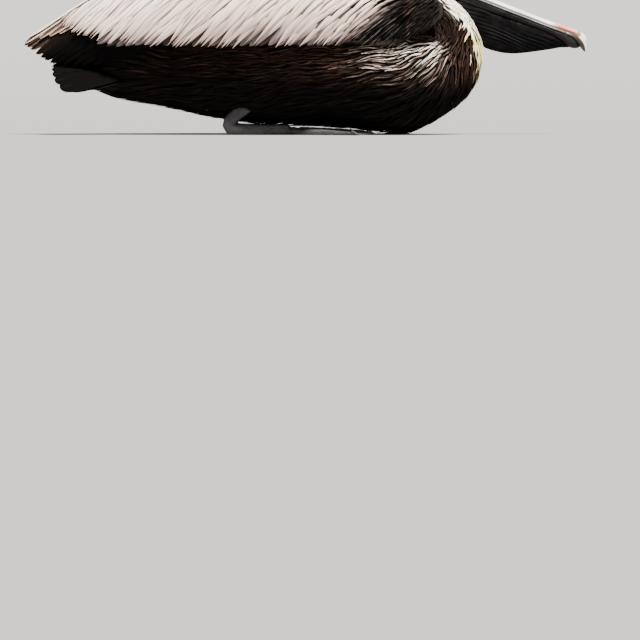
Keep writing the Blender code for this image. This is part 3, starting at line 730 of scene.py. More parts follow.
def body_coat(hull):
    """Plumes over everything but the wings and the bare face, in pieces by region."""
    wing = hull.on_wing()

    def spacing(points):
        gap = plumage_sizes(points)[2]
        left_out = (wing & (shoulder(points) < 0.9)) | (bare_face(points) > 0.55) | (points[:, 2] < 0.0015)
        gap[left_out] = -1
        return gap

    start, _ = hull.scatter(spacing, 1)
    length, half, _, depth = plumage_sizes(start)
    rng = np.random.default_rng(2)
    length = length * rng.uniform(0.8, 1.15, len(start))
    half = half * rng.uniform(0.85, 1.2, len(start))
    at, far, _, _ = spine_frame(start)
    on_neck = (far < 1.3) & (at < 11.4)
    groups = {
        "coat_head": on_neck & (at < 3.4),
        "coat_neck": on_neck & (at >= 3.4),
        "coat_left": ~on_neck & (start[:, 1] > 0),
        "coat_right": ~on_neck & (start[:, 1] <= 0),
    }
    for number, (name, chosen) in enumerate(groups.items()):
        small = name in ("coat_head", "coat_neck")
        steps, across = (4, 3) if name == "coat_head" else (5, 3) if small else (7, 5)
        root, reach = start[chosen], length[chosen]
        line, normal = hull.trail(root, reach, steps, heading, 0.05, 10 + number)
        n = len(root)
        s = np.linspace(0, 1, steps + 1)
        rise = 1 - (1 - s) ** 1.7
        lift = depth[chosen][:, None] * (rise[None] - 1) + rng.uniform(-0.35, 0.5, (n, 1)) * 0.001 * s
        line = line + normal * lift[..., None]
        tint, rim = body_colours(line[:, int(steps * 0.6)])
        band = plume_band(root, tint)
        share = np.exp(rng.normal(0, mix(0.46, 0.08, band[:, None] ** 2), (n, 1)))
        tint = np.clip(tint * share, 0, 0.93)
        width = half[chosen][:, None] * blade(s, "lance")[None]
        place = (neck_unwrap if small else trunk_unwrap)(root)
        camber, roll = 0.20 if small else 0.22, rng.normal(0, 0.12, n)
        coat = Coat()
        coat.add(line, normal, width, tint, rim, band, place, across, camber, roll, number)
        ride(coat.build(name, MATERIALS["plume"]))


def plume_band(points, tint):
    """How much of a plume's half width its middle colour takes: little where dark, and most where pale."""
    at, far, _, _ = spine_frame(points)
    neck = (1 - ease(1.15, 1.4, far)) * (1 - ease(10.6, 11.6, at))
    pale = ease(0.15, 0.45, tint.max(1))
    return mix(mix(0.34, 0.17, shoulder(points)), mix(0.38, 0.85, pale), neck)


# ---- Wings ----
class Wing:
    """A folded wing's outer side as a sheet: x along the bird, t from the back (0) to the lower edge (1)."""

    COLUMNS, ROWS, MORE = 110, 41, 10
    CENTRE = (0.0, 0.094)
    # The plumage's lie in degrees below the horizontal, along the lower edge and along the back.
    LOW_X = (-0.34, -0.24, -0.18, -0.12, -0.05, 0.03, 0.08, 0.12, 0.16)
    LOW_LIE = (29, 33, 38, 45, 48, 47, 42, 35, 25)
    TOP_X, TOP_LIE = (-0.34, -0.30, -0.20, -0.10, 0.0, 0.1), (31, 33, 30, 18, 12, 15)
    # The height of the coverts' ragged lower edge
    FRINGE_X = (-0.335, -0.310, -0.300, -0.280, -0.250, -0.210, -0.160, -0.05, 0.0, 0.03)
    FRINGE_Z = (0.152, 0.140, 0.1335, 0.126, 0.1195, 0.1165, 0.1145, 0.1145, 0.112, 0.0)

    def __init__(self, sign):
        self.sign = sign
        points, triangles = node_triangles("wing_left")
        corners = points[triangles]
        low, high = corners[:, :, 0].min(1), corners[:, :, 0].max(1)
        self.x = np.linspace(points[:, 0].min() + 0.0015, points[:, 0].max() - 0.002, self.COLUMNS)
        grid = []
        for x in self.x:
            segments = section(corners[(low < x) & (high > x)], x)
            off = segments.reshape(-1, 2) - self.CENTRE
            turn = np.arctan2(off[:, 1], off[:, 0])
            turns = np.linspace(turn.max() - 0.01, turn.min() + 0.01, 90)
            reach = outermost(segments, np.array(self.CENTRE), turns)
            ring = np.stack([np.cos(turns), np.sin(turns)], -1) * reach[:, None] + self.CENTRE
            ring = ring[reach > 0.002]
            run = np.concatenate([[0], np.cumsum(np.linalg.norm(np.diff(ring, axis=0), axis=1))])
            even = np.linspace(0, run[-1], self.ROWS)
            grid.append(np.stack([np.interp(even, run, ring[:, 0]), np.interp(even, run, ring[:, 1])], -1))
        grid = smooth_rows(smooth_rows(np.array(grid), 2.2, 0), 1.2, 1)
        # Past both edges the sheet goes on straight.
        past = np.arange(1, self.MORE + 1)[None, :, None] / 2
        over = grid[:, :1] + (grid[:, :1] - grid[:, 2:3]) * past
        under = grid[:, -1:] + (grid[:, -1:] - grid[:, -3:-2]) * past
        grid = np.concatenate([over[:, ::-1], grid, under], 1)
        points = np.concatenate([np.broadcast_to(self.x[:, None, None], (*grid.shape[:2], 1)), grid], -1)
        points[..., 1] = np.maximum(points[..., 1], 0.001) * sign
        self.points = points
        self.normals = unit(np.cross(np.gradient(points, axis=1), np.gradient(points, axis=0))) * -sign
        steps = np.linalg.norm(np.diff(points, axis=1), axis=-1)
        self.length = steps[:, self.MORE : self.MORE + self.ROWS - 1].sum(1)

    def look_up(self, grid, x, t):
        u = np.clip((x - self.x[0]) / (self.x[-1] - self.x[0]), 0, 1) * (self.COLUMNS - 1)
        v = np.clip(t * (self.ROWS - 1) + self.MORE, 0, self.ROWS - 1 + 2 * self.MORE)
        i, j = np.minimum(u.astype(int), self.COLUMNS - 2), np.minimum(v.astype(int), grid.shape[1] - 2)
        u, v = (u - i)[..., None], (v - j)[..., None]
        return mix(mix(grid[i, j], grid[i + 1, j], u), mix(grid[i, j + 1], grid[i + 1, j + 1], u), v)

    def place(self, x, t):
        """Points of the sheet and its normals; past the wing's ends it goes on straight."""
        points = self.look_up(self.points, x, t)
        points[..., 0] = x
        return points, unit(self.look_up(self.normals, x, t))

    def depth_at(self, x):
        return np.interp(x, self.x, self.length)

    def lie(self, x, t):
        low, top = np.interp(x, self.LOW_X, self.LOW_LIE), np.interp(x, self.TOP_X, self.TOP_LIE)
        return np.radians(mix(top, low, ease(0.0, 0.8, t)))

    def trace(self, x, t, length, k, turn):
        """Lines of k steps over the sheet along the lie of the plumage, turned downwards by `turn`."""
        xs, ts = [x], [t]
        for _ in range(k):
            sway = np.sin(x * 90 + t * 11) * 0.05
            angle = self.lie(x, t) + turn + sway
            x = x - np.cos(angle) * length / k
            t = t + np.sin(angle) * length / k / self.depth_at(np.maximum(x, self.x[0] + 0.03))
            xs.append(x)
            ts.append(t)
        return np.stack(xs, 1), np.stack(ts, 1)

    def unwrap(self, x, t):
        return on_map((x - self.x[0]) / (self.x[-1] - self.x[0]), t * 0.8 + 0.1)

    def scatter(self, spacing, region, seed):
        """Roots (x, t) spread so that each keeps spacing(x) = (along, across) from the others."""
        rng = np.random.default_rng(seed)
        x, t = rng.uniform(self.x[0] + 0.01, self.x[-1], 14000), rng.uniform(-0.02, 1.0, 14000)
        inside = region(x, t)
        x, t = x[inside], t[inside]
        along, across = spacing(x)
        lie = self.lie(x, t)
        px, pz = x, -t * self.depth_at(x)
        kept = []
        for i in range(len(x)):
            if kept:
                k = np.array(kept)
                dx, dz = px[k] - px[i], pz[k] - pz[i]
                a = dx * math.cos(lie[i]) + dz * math.sin(lie[i])
                b = -dx * math.sin(lie[i]) + dz * math.cos(lie[i])
                if ((a / along[i]) ** 2 + (b / across[i]) ** 2).min() < 1:
                    continue
            kept.append(i)
        return x[kept], t[kept]

    def row_at(self, x, z):
        """t at which the sheet comes down to height z, at each x; past its lower edge if it must."""
        rows = np.linspace(0.04, 1.25, 90)
        last = len(rows) - 1
        columns, down = np.broadcast_arrays(np.asarray(x)[..., None], rows)
        heights = self.place(columns, down)[0][..., 2]
        below = heights < np.asarray(z)[..., None]
        k = np.clip(np.where(below.any(-1), below.argmax(-1), last), 1, last)[..., None]
        high, low = np.take_along_axis(heights, k - 1, -1)[..., 0], np.take_along_axis(heights, k, -1)[..., 0]
        share = np.clip((high - z) / np.maximum(high - low, 1e-6), 0, 1)
        return rows[k[..., 0] - 1] + share * (rows[1] - rows[0])

    def fringe(self, x):
        """t at which the coverts' tips end: higher over the primaries, and in front at the sheet's edge."""
        return np.minimum(self.row_at(x, np.interp(x, self.FRINGE_X, self.FRINGE_Z)), 1.0)

    def past_fringe(self, xs, ts):
        """How far past the fringe the points of lines over the sheet lie, in t."""
        return ts - np.stack([self.fringe(column) for column in xs.T], 1)


def wing_feathers(wing, coat, xs, ts, half, tint, rim, band, shape, height, rise, seed, lean=0.0, crowd=1.0):
    """Adds feathers along lines (xs, ts); each starts at its height over the wing and rises to its tip."""
    rng = np.random.default_rng(seed)
    n, k = len(xs), xs.shape[1] - 1
    points, normals = wing.place(xs, ts)
    s = stations(k, crowd)
    lift = np.broadcast_to(height, (n,))[:, None] + np.broadcast_to(rise, (n,))[:, None] * (1 - (1 - s) ** 2)
    points = points + normals * lift[..., None]
    width = np.broadcast_to(half, (n,))[:, None] * blade(s, shape)[None]
    roll = rng.normal(0.05 * wing.sign, 0.06, n)
    place = wing.unwrap(xs[:, 0], ts[:, 0])
    coat.add(points, normals, width, tint, rim, band, place, 7, 0.16, roll, seed, lean)


# Folded flight feathers as the (x, z) of their ends, from the longest to the innermost
PRIMARY_ENDS = (
    (-0.3655, 0.1190), (-0.3650, 0.1172), (-0.3625, 0.1135), (-0.3580, 0.1095), (-0.3515, 0.1030),
    (-0.3450, 0.0985), (-0.3400, 0.0955), (-0.3325, 0.0915), (-0.3255, 0.0895), (-0.3150, 0.0885),
    (-0.3030, 0.0865), (-0.2900, 0.0875), (-0.2760, 0.0880), (-0.2600, 0.0905), (-0.2420, 0.0945),
)
PRIMARY_LENGTH = 0.165
# Colours of the quills, linear
TERTIAL_BROWN = (0.060, 0.036, 0.030)
TAN = (0.40, 0.27, 0.20)
PALE_TAN = (0.66, 0.52, 0.42)
QUILL_BLACK = (0.0024, 0.0020, 0.0019)
QUILL_BROWN = (0.030, 0.018, 0.014)
PALE_END = (0.26, 0.21, 0.18)
REAR_DUSK = (0.30, 0.20, 0.165)
SECONDARY_DARK = (0.055, 0.042, 0.038)
SECONDARY_PALE = (0.27, 0.21, 0.21)


def fan_lines(wing, ends, lie, length, s, bend):
    """Lines over the wing that end at these (x, z) and run up from there at these angles."""
    lie = np.radians(lie)[:, None]
    back = (1 - s)[None] * length
    xs = ends[:, :1] + np.cos(lie) * back
    zs = ends[:, 1:] + np.sin(lie) * back + bend * np.sin(back / length * math.pi)
    on_sheet = np.maximum(xs, wing.x[0])
    top = wing.place(on_sheet, np.full(xs.shape, 0.06))[0][..., 2] - 0.0015
    return xs, wing.row_at(on_sheet, np.minimum(zs, top))


def tertials(wing, quills, seed):
    """Brown feathers with tan edges over the uppermost primaries, out to the wing's tip."""
    rng = np.random.default_rng(seed)
    count, k = 9, 14
    share = np.linspace(0, 1, count)
    end_z = mix(0.1215, 0.1345, share) - 0.002 * (np.arange(count) % 2)
    ends = np.stack([mix(-0.3635, -0.312, share), end_z], -1)
    xs, ts = fan_lines(wing, ends, np.linspace(35, 31, count), 0.085, stations(k, 1.6), 0.003)
    tint = np.array(TERTIAL_BROWN) * rng.uniform(0.4, 1.4, (count, 1))
    rim = blend_colour(colours(TAN, count), PALE_TAN, rng.uniform(0, 1, count))
    height = -0.0022 - 0.0003 * np.arange(count)
    wing_feathers(wing, quills, xs, ts, 0.0062, tint, rim, 0.66, "quill", height, 0.001, seed, crowd=1.6)


def primaries(wing, quills, seed):
    """Long dark quills closed like a fan behind the wing; the upper ones are browner, with pale ends."""
    rng = np.random.default_rng(seed)
    ends = np.array(PRIMARY_ENDS)
    count, k = len(ends), 18
    s = stations(k, 1.6)
    xs, ts = fan_lines(wing, ends, np.linspace(35.5, 24, count), PRIMARY_LENGTH, s, 0.006)
    upper = ease(6, 0, np.arange(count))[:, None]
    dark = mix(np.array(QUILL_BLACK), np.array(QUILL_BROWN), upper * rng.uniform(0.4, 1, (count, 1)))
    dark = np.repeat(dark[:, None], k + 1, 1)
    streak = dark * (1.0 + upper[:, None] * rng.uniform(3, 10, (count, 1, 1)))
    rim = mix(streak, np.array(PALE_END), ease(0.975, 1.0, s[None, :, None]) * upper[:, None])
    height = -0.0042 - 0.0005 * np.arange(count)
    band = mix(0.86, 0.62, upper[:, 0])
    wing_feathers(wing, quills, xs, ts, 0.0085, dark, rim, band, "quill", height, 0.0, seed, crowd=1.6)


def back_feathers(wing, quills, seed):
    """Long silvery feathers along the back, the last of them reaching the wing's very tip."""
    rng = np.random.default_rng(seed)
    start = np.linspace(0.02, -0.235, 15)
    count, k = len(start), 16
    length = np.linspace(0.120, 0.132, count)
    s = np.linspace(0, 1, k + 1)[None]
    xs = start[:, None] - length[:, None] * s
    rear = ease(-0.12, -0.23, start)[:, None]
    ts = mix(0.015 + 0.06 * rng.random((count, 1)), 0.10 + 0.05 * rng.random((count, 1)) + 0.13 * rear, s)
    tint = colours(SILVER, count) * rng.uniform(0.85, 1.03, (count, 1))
    rim = blend_colour(colours(DUSK, count), REAR_DUSK, rear[:, 0])
    half, lean = mix(0.0066, 0.0052, rear[:, 0]), -0.15 * wing.sign
    wing_feathers(wing, quills, xs, ts, half, tint, rim, 0.70, "quill", -0.0030, 0.0042, seed, lean)


def secondaries(wing, quills, seed):
    """Broad grey quills whose ends show a little between the coverts' tips."""
    rng = np.random.default_rng(seed)
    count = 26
    end_x = np.linspace(0.04, -0.268, count)
    end_t = wing.fringe(end_x) + 0.012 + 0.05 * ease(-0.20, -0.26, end_x)
    # Traced up the wing from each end.
    xs, ts = wing.trace(end_x, end_t, np.full(count, -0.075), 12, -0.12)
    xs, ts = xs[:, ::-1], ts[:, ::-1]
    grey = blend_colour(colours(SECONDARY_DARK, count), SECONDARY_PALE, rng.uniform(0, 1, count) ** 2)
    height = -0.0040 - 0.00006 * np.arange(count)
    wing_feathers(wing, quills, xs, ts, 0.0082, grey, grey * 0.45, 0.75, "quill", height, 0.0016, seed)


def wing_coat(sign, side):
    """The quills of one wing as one piece, and its coverts as another."""
    wing, coat, quills = Wing(sign), Coat(), Coat()
    seed = 40 if sign > 0 else 60
    rng = np.random.default_rng(seed)
    secondaries(wing, quills, seed + 1)
    primaries(wing, quills, seed + 2)
    tertials(wing, quills, seed + 6)
    back_feathers(wing, quills, seed + 5)
    ride(quills.build("quills_" + side, MATERIALS["quill"]))

    # Coverts: long ribbons over most of the wing, short narrow ones at its front.
    def front(x):
        return ease(0.02, 0.12, x)

    def spacing(x):
        f = front(x)
        small = mix(1.0, 0.8, ease(-0.20, -0.32, x))
        return mix(0.019, 0.0090, f) * small, mix(0.0054, 0.0036, f) * small

    def region(x, t):
        high = 0.045 * ease(-0.05, -0.15, x)
        return (t > high) & (t < mix(0.78, 1.02, ease(-0.02, 0.08, x))) & (x > wing.x[0] + 0.052)

    x, t = wing.scatter(spacing, region, seed + 3)
    f = front(x)
    length = mix(0.095, 0.034, f) * rng.uniform(0.85, 1.12, len(x)) * mix(1.0, 0.75, ease(-0.2, -0.3, x))
    # A feather that would pass the fringe is shortened to end there, and left out if little of it is left.
    steps, turn = 12, rng.normal(0, 0.04, len(x))
    xs, ts = wing.trace(x, t, length, steps, turn)
    ragged = 0.0052 * rng.uniform(-1, 1, (len(x), 1)) / wing.depth_at(x)[:, None]
    past = wing.past_fringe(xs, ts) - ragged
    first = np.where((past > 0).any(1), (past > 0).argmax(1), steps)
    rows = np.arange(len(x))
    before, after = past[rows, np.maximum(first - 1, 0)], past[rows, first]
    part = np.where(after > 0, first - 1 + before / np.minimum(before - after, -1e-9), steps)
    share = np.clip(part / steps, 0, 1)
    keep = share > mix(0.40, 0.3, f)
    x, t, f, turn, length = x[keep], t[keep], f[keep], turn[keep], (length * share)[keep]
    n = len(x)
    half = mix(0.0044, 0.0024, f) * rng.uniform(0.75, 1.2, n) * mix(0.75, 1.0, ease(0.02, 0.06, length))
    tint, rim, band = covert_colours(x, t, wing, rng)
    height = -0.0050 + 0.0004 * rng.normal(size=n)
    xs, ts = wing.trace(x, t, length, steps, turn)
    # Many get painted shade near the fringe, where the tips overlap, most of all at the wing's front half.
    share = rng.uniform(0, 1, n) * mix(0.45, 0.95, ease(-0.16, 0.0, x)) * ease(-0.30, -0.20, x)
    shade = (share[:, None] * ease(-0.30, -0.02, wing.past_fringe(xs, ts)))[..., None]
    tint = np.minimum(tint[:, None], mix(tint[:, None], np.array(FRINGE_SHADE), shade))
    # The pale middle band leans to each pale ribbon's upper side, so its lower side shows the darker edge
    # colour: painted shade on the side turned from the light.
    lean = np.where(band > 0.4, 0.28, 0.0) * sign
    wing_feathers(wing, coat, xs, ts, half, tint, rim, band, "lance", height, 0.0050, seed + 4, lean)
    ride(coat.build("coverts_" + side, MATERIALS["covert"]))


# Colours of the coverts, linear
# pink tone of the coverts, partly their own and partly painted shade
ROSE_AND_SHADE = (0.88, 0.68, 0.585)
ROSE_DUSK = (0.26, 0.175, 0.155)
FRONT_GREY = (0.45, 0.36, 0.335)
FRONT_BLACK = (0.0026, 0.0022, 0.0022)
REAR_TAN = (0.62, 0.46, 0.30)
REAR_BROWN = (0.07, 0.048, 0.040)
# painted shade near the coverts' fringe
FRINGE_SHADE = (0.13, 0.085, 0.072)


def covert_colours(x, t, wing, rng):
    """Silvery ribbons with dusky edges; low at the wing's front they turn dark with a thin pale line."""
    n = len(x)
    points, _ = wing.place(x, t)
    z = points[:, 2]
    dark = ease(-0.024, 0.024, (x - 0.045) - (z - 0.125) * 1.5) * ease(-0.02, 0.05, x)
    glow = rng.uniform(0.84, 1.05, (n, 1))
    patches = np.clip(0.5 + 0.5 * waves(points, 0.045, 31), 0, 1)
    # Rose tone, partly the feathers' own, at random and in patches, and partly painted shade that grows down
    # the wing's side, away from the light; the edges darken lower down too, as painted shade.
    low = ease(0.30, 0.62, t)
    rose_and_shade = rng.uniform(0, 0.45, n) + 0.25 * patches + 0.35 * low
    tint = blend_colour(colours(SILVER, n), ROSE_AND_SHADE, rose_and_shade) * glow
    rim = blend_colour(colours(DUSK, n), ROSE_DUSK, rng.uniform(0, 1, n) ** 2 * mix(0.35, 1.0, low))
    # Beside the neck even the thin lines are in the shade.
    shaded_to = mix(0.150, 0.190, ease(0.115, 0.150, x))
    shade = 0.95 * ease(0.100, 0.135, x) * ease(shaded_to + 0.02, shaded_to, z)
    lit = (mix(0.10, 1.0, ease(0.118, 0.150, z)) * (1 - shade))[:, None] * rng.uniform(0.1, 1.3, (n, 1))
    tint = blend_colour(tint, FRONT_GREY, dark)
    tint = mix(tint, np.array(THIN_LINE) * lit, ease(0.4, 0.9, dark)[:, None])
    rim = blend_colour(rim, FRONT_BLACK, dark)
    rear = ease(-0.20, -0.30, x)
    tint = blend_colour(tint, REAR_TAN, rear * rng.uniform(0, 0.9, n))
    rim = blend_colour(rim, REAR_BROWN, rear * 0.85)
    band = mix(0.50, 0.19, dark) * rng.uniform(0.75, 1.2, n)
    return np.clip(tint, 0, 0.96), rim, band


# ---- The back between the wings ----
MANTLE_GREY, MANTLE_DARK = (0.30, 0.22, 0.19), (0.05, 0.036, 0.030)


def mantle():
    """Overlapping feathers down the middle of the back, which close the gap between the folded wings."""
    wing, coat, rng = Wing(1), Coat(), np.random.default_rng(90)
    rows, k, length = 15, 12, 0.105
    start = np.repeat(np.linspace(-0.052, -0.232, rows), 3)
    aside = np.tile((-0.75, 0.75, 0.0), rows)[:, None]
    count = len(start)
    s = stations(k, 1.4)
    x = start[:, None] - length * s
    edge, _ = wing.place(x, np.zeros(x.shape))
    y = aside * np.maximum(edge[..., 1], 0.0035)
    z = edge[..., 2] - 0.0050 + 0.0030 * s - 0.0004 * np.abs(aside)
    spine = np.stack([x, y, z], -1)
    normal = np.broadcast_to(np.array((0.0, 0.0, 1.0)), spine.shape)
    half = np.maximum(0.0075, 0.55 * edge[:, 0, 1])[:, None] * blade(s, "quill")[None]
    # Greyer and darker towards the rear: painted shade on the rump between the wings.
    rear = ease(-0.12, -0.22, start)
    tint = blend_colour(colours(SILVER, count), MANTLE_GREY, rear * 0.7) * rng.uniform(0.75, 1.0, (count, 1))
    rim = blend_colour(colours(DUSK, count), MANTLE_DARK, 0.4 + 0.5 * rear)
    place = np.stack([(start + 0.37) / 0.55, aside[:, 0] * 0.05 + 0.5], -1)
    coat.add(spine, normal, half, tint, rim, 0.62, place, 7, 0.16, rng.normal(0, 0.05, count), 91)
    ride(coat.build("mantle", MATERIALS["quill"]))


# ---- Tail ----
TAIL_ARCH, TAIL_ROUNDING = 0.033, 0.013  # the outermost feathers lie lower and end shorter, by these
TAIL_ROOT_Z, TAIL_END_Z = 0.101, 0.0912
# The tail's own blackish colour, darkened further as painted shade.
TAIL_BLACK_AND_SHADE = (0.0016, 0.0013, 0.0012)
# The quills, and the coverts under them: number, half width, how far they lie below, and reach
TAIL_ROWS = ((12, 0.0145, 0.0, 1.0), (11, 0.0150, 0.0035, 0.80))


def tail():
    """Two rows of feathers, fanned along an arch."""
    low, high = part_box("tail")
    coat, k = Coat(), 26
    for row, (count, half, drop, reach) in enumerate(TAIL_ROWS):
        a, s = np.linspace(-1, 1, count)[:, None], stations(k, 1.8)
        root_x = high.x + 0.03
        tip_x = root_x + (low.x + 0.0015 + TAIL_ROUNDING * np.abs(a) ** 4 - root_x) * reach
        x = mix(root_x, tip_x, s)
        fan = (x - high.x) / (low.x - high.x)
        wide = mix(0.022, high.y - 0.006, np.clip(fan, 0, 1.05) ** 0.8)
        arch = TAIL_ARCH * (0.35 + 0.65 * fan)
        z = mix(TAIL_ROOT_Z, TAIL_END_Z, fan) - arch * a**2 - drop - 0.002 * np.abs(a) * s
        spine = np.stack(np.broadcast_arrays(x, a * wide, z), -1)
        slope = 2 * arch * a / wide
        normal = unit(np.stack(np.broadcast_arrays(0.05, slope, 1.0), -1))
        width = np.full((count, 1), half) * blade(s, "round")[None]
        dark, roll = colours(TAIL_BLACK_AND_SHADE, count), np.sign(a[:, 0]) * -0.06
        place = np.stack([np.full(count, 0.3 + 0.4 * row), a[:, 0] * 0.4 + 0.5], -1)
        coat.add(spine, normal, width, dark, dark * 1.2, 0.9, place, 7, 0.12, roll, 5 + row)
    ride(coat.build("tail_feathers", MATERIALS["quill"]))


# ---- Bill, pouch and eyes ----
BILL_BASE = Vector((0.077, 0.0, 0.230))  # on the line where the two mandibles meet, at the face
BILL_SLOPE = math.radians(21.1)
NAIL_STRETCH = 0.22  # lengthens the rounded nail to the solid's length
BILL_LENGTH, BILL_END, NAIL_FROM = 0.3095, 0.3090, 0.2985
BILL_FORWARD = np.array((math.cos(BILL_SLOPE), 0.0, -math.sin(BILL_SLOPE)))
BILL_UP = np.array((math.sin(BILL_SLOPE), 0.0, math.cos(BILL_SLOPE)))


def bill_rings(node, places, count, smooth_along, smooth_round):
    """Rings round a CAD solid, square to the bill's line: at each place, points' along, across and height."""
    points, triangles = node_triangles(node)
    off = points - np.array(BILL_BASE)
    local = np.stack([off @ BILL_FORWARD, off[:, 1], off @ BILL_UP], -1)
    corners = local[triangles]
    low, high = corners[:, :, 0].min(1), corners[:, :, 0].max(1)
    turns = circle(count)
    ways = np.stack([np.cos(turns), np.sin(turns)], -1)
    rings = np.empty((len(places), count, 3))
    for ring, s in zip(rings, places):
        segments = section(corners[(low < s) & (high > s)], s)
        flat = segments.reshape(-1, 2)
        centre = (flat.min(0) + flat.max(0)) / 2
        ring[:, 0] = s
        ring[:, 1:] = centre + ways * outermost(segments, centre, turns)[:, None]
    rings[..., 1:] = smooth_rows(rings[..., 1:], smooth_along, 0)
    wrapped = np.concatenate([rings[:, -12:], rings, rings[:, :12]], 1)
    return smooth_rows(wrapped, smooth_round, 1)[:, 12:-12]


def bill_piece(name, rings, material, *places):
    """A piece through rings given in the bill's own directions, with its places for the material."""
    points = np.array(BILL_BASE) + rings @ np.array((BILL_FORWARD, (0, 1, 0), BILL_UP))
    place = np.stack(np.broadcast_arrays(*places), -1)
    return tube_mesh(name, points, MATERIALS[material], place)


def bill_turn(count):
    """Angles up round a ring of the bill: -90 under it, 0 at its sides and 90 on its ridge."""
    a = circle(count)
    return np.degrees(np.arctan2(np.sin(a), np.abs(np.cos(a))))[None]


def tube_mesh(name, rings, surface, place=None):
    """A closed mesh through rings (m, n, 3) of points, with a fan at each end."""
    m, n = rings.shape[:2]
    points = np.concatenate([rings.reshape(-1, 3), rings[:1].mean(1), rings[-1:].mean(1)])
    ring, nxt = np.arange(n), (np.arange(n) + 1) % n
    first = np.stack([nxt, ring, np.full(n, m * n)], -1).reshape(-1)
    last = np.stack([ring + (m - 1) * n, nxt + (m - 1) * n, np.full(n, m * n + 1)], -1).reshape(-1)
    loops = np.concatenate([ring_faces(m, n), first, last])
    sizes = np.concatenate([np.full((m - 1) * n, 4), np.full(2 * n, 3)])
    obj = make_mesh(name, points, loops, sizes, surface)
    flip_if_inside_out(obj)
    if place is not None:
        values = np.concatenate([place.reshape(-1, 3), place[:1].mean(1), place[-1:].mean(1)])
        set_layer(obj.data, "Place", values)
    return obj


def flip_if_inside_out(obj):
    work = bmesh.new()
    work.from_mesh(obj.data)
    if work.calc_volume(signed=True) < 0:
        bmesh.ops.reverse_faces(work, faces=work.faces)
    work.to_mesh(obj.data)
    work.free()


def upper_bill():
    """Grooved along each side under the ridge, finely furrowed lengthwise, with a hooked nail."""
    count = 96
    cuts = np.concatenate([np.linspace(0.001, 0.262, 150), 0.264 + (BILL_END - 0.264) * stations(70, 1.5)])
    rings = bill_rings("bill_upper", cuts, count, 1.6, 1.0)
    s, turn = rings[..., 0], bill_turn(count)
    centre = rings.mean(1, keepdims=True)
    out = rings - centre
    groove = swell(turn, 40, 9) * ease(0.0, 0.02, s) * ease(0.284, 0.26, s)
    lower_groove = swell(turn, -4, 7) * ease(0.01, 0.05, s) * ease(0.275, 0.25, s)
    nail_edge = swell(s, 0.2795, 0.0022) * (turn > -30)
    furrow = np.sin(turn * 0.9 + np.sin(s * 60) * 2) * np.sin(s * 210 + turn * 0.3) * (turn > -40)
    press = groove * 0.13 + lower_groove * 0.05 + nail_edge * 0.05 + 0.012 * furrow
    ridge = 0.05 * swell(turn, 90, 16) * ease(0.29, 0.25, s)
    rings[..., 1:] = centre[..., 1:] + out[..., 1:] * (1 - press + ridge)[..., None]
    # The nail's top rounds down to the hook's point.
    hook = rings[..., 2].min(1, keepdims=True) + 0.0006
    close_end(rings, hook, NAIL_FROM, BILL_END)
    rings[..., 0] += NAIL_STRETCH * np.maximum(s - NAIL_FROM, 0)
    set_into_head(rings)
    height = out[..., 2] / np.abs(out[..., 2]).max(1, keepdims=True)
    places = s / BILL_LENGTH, turn / 180 + 0.5, height * 0.5 + 0.5
    obj = bill_piece("bill_upper_horn", rings, "horn_upper", *places)
    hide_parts("bill_upper")
    return ride(obj)


def close_end(rings, level, start, end):
    """Shrinks the rings between two places along the bill towards a height, to a rounded end."""
    share = np.clip((rings[..., 0] - start) / (end - start), 0, 1)
    shrink = np.sqrt(1 - 0.995 * share**2.6)
    rings[..., 1] *= shrink
    rings[..., 2] = level + (rings[..., 2] - level) * shrink


def set_into_head(rings):
    """Draws the first ring back into the head, a little smaller, so that the base shows no cut end."""
    centre = rings[0].mean(0)
    rings[0] = centre + (rings[0] - centre) * 0.75
    rings[0, :, 0] -= 0.006


def tuck_in(rings, depth):
    """Raises the tops of the rings by a depth, into what lies over them, so that no gap shows."""
    top, middle = rings[..., 2].max(1, keepdims=True), rings[..., 2].mean(1, keepdims=True)
    rings[..., 2] += depth * ease(0.2, 0.9, (rings[..., 2] - middle) / (top - middle))


def lower_bill():
    """Narrow, with a groove along each side, closed under the upper bill."""
    count, end = 64, 0.3026
    rings = bill_rings("bill_lower", end * np.linspace(0.003, 1, 170) ** 0.9, count, 1.6, 1.0)
    s, turn = rings[..., 0], bill_turn(count)
    centre = rings.mean(1, keepdims=True)
    out = rings - centre
    groove = swell(turn, -12, 9) * ease(0.0, 0.03, s) * ease(0.285, 0.26, s)
    rings[..., 1:] = centre[..., 1:] + out[..., 1:] * (1 - 0.07 * groove)[..., None]
    tuck_in(rings, mix(0.0009, 0.0022, ease(0.270, 0.295, s)))
    close_end(rings, rings[..., 2].max(1, keepdims=True), 0.288, end + 0.0002)
    set_into_head(rings)
    obj = bill_piece("bill_lower_horn", rings, "horn_lower", s / BILL_LENGTH, turn / 180 + 0.5, 0.5)
    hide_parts("bill_lower")
    return ride(obj)


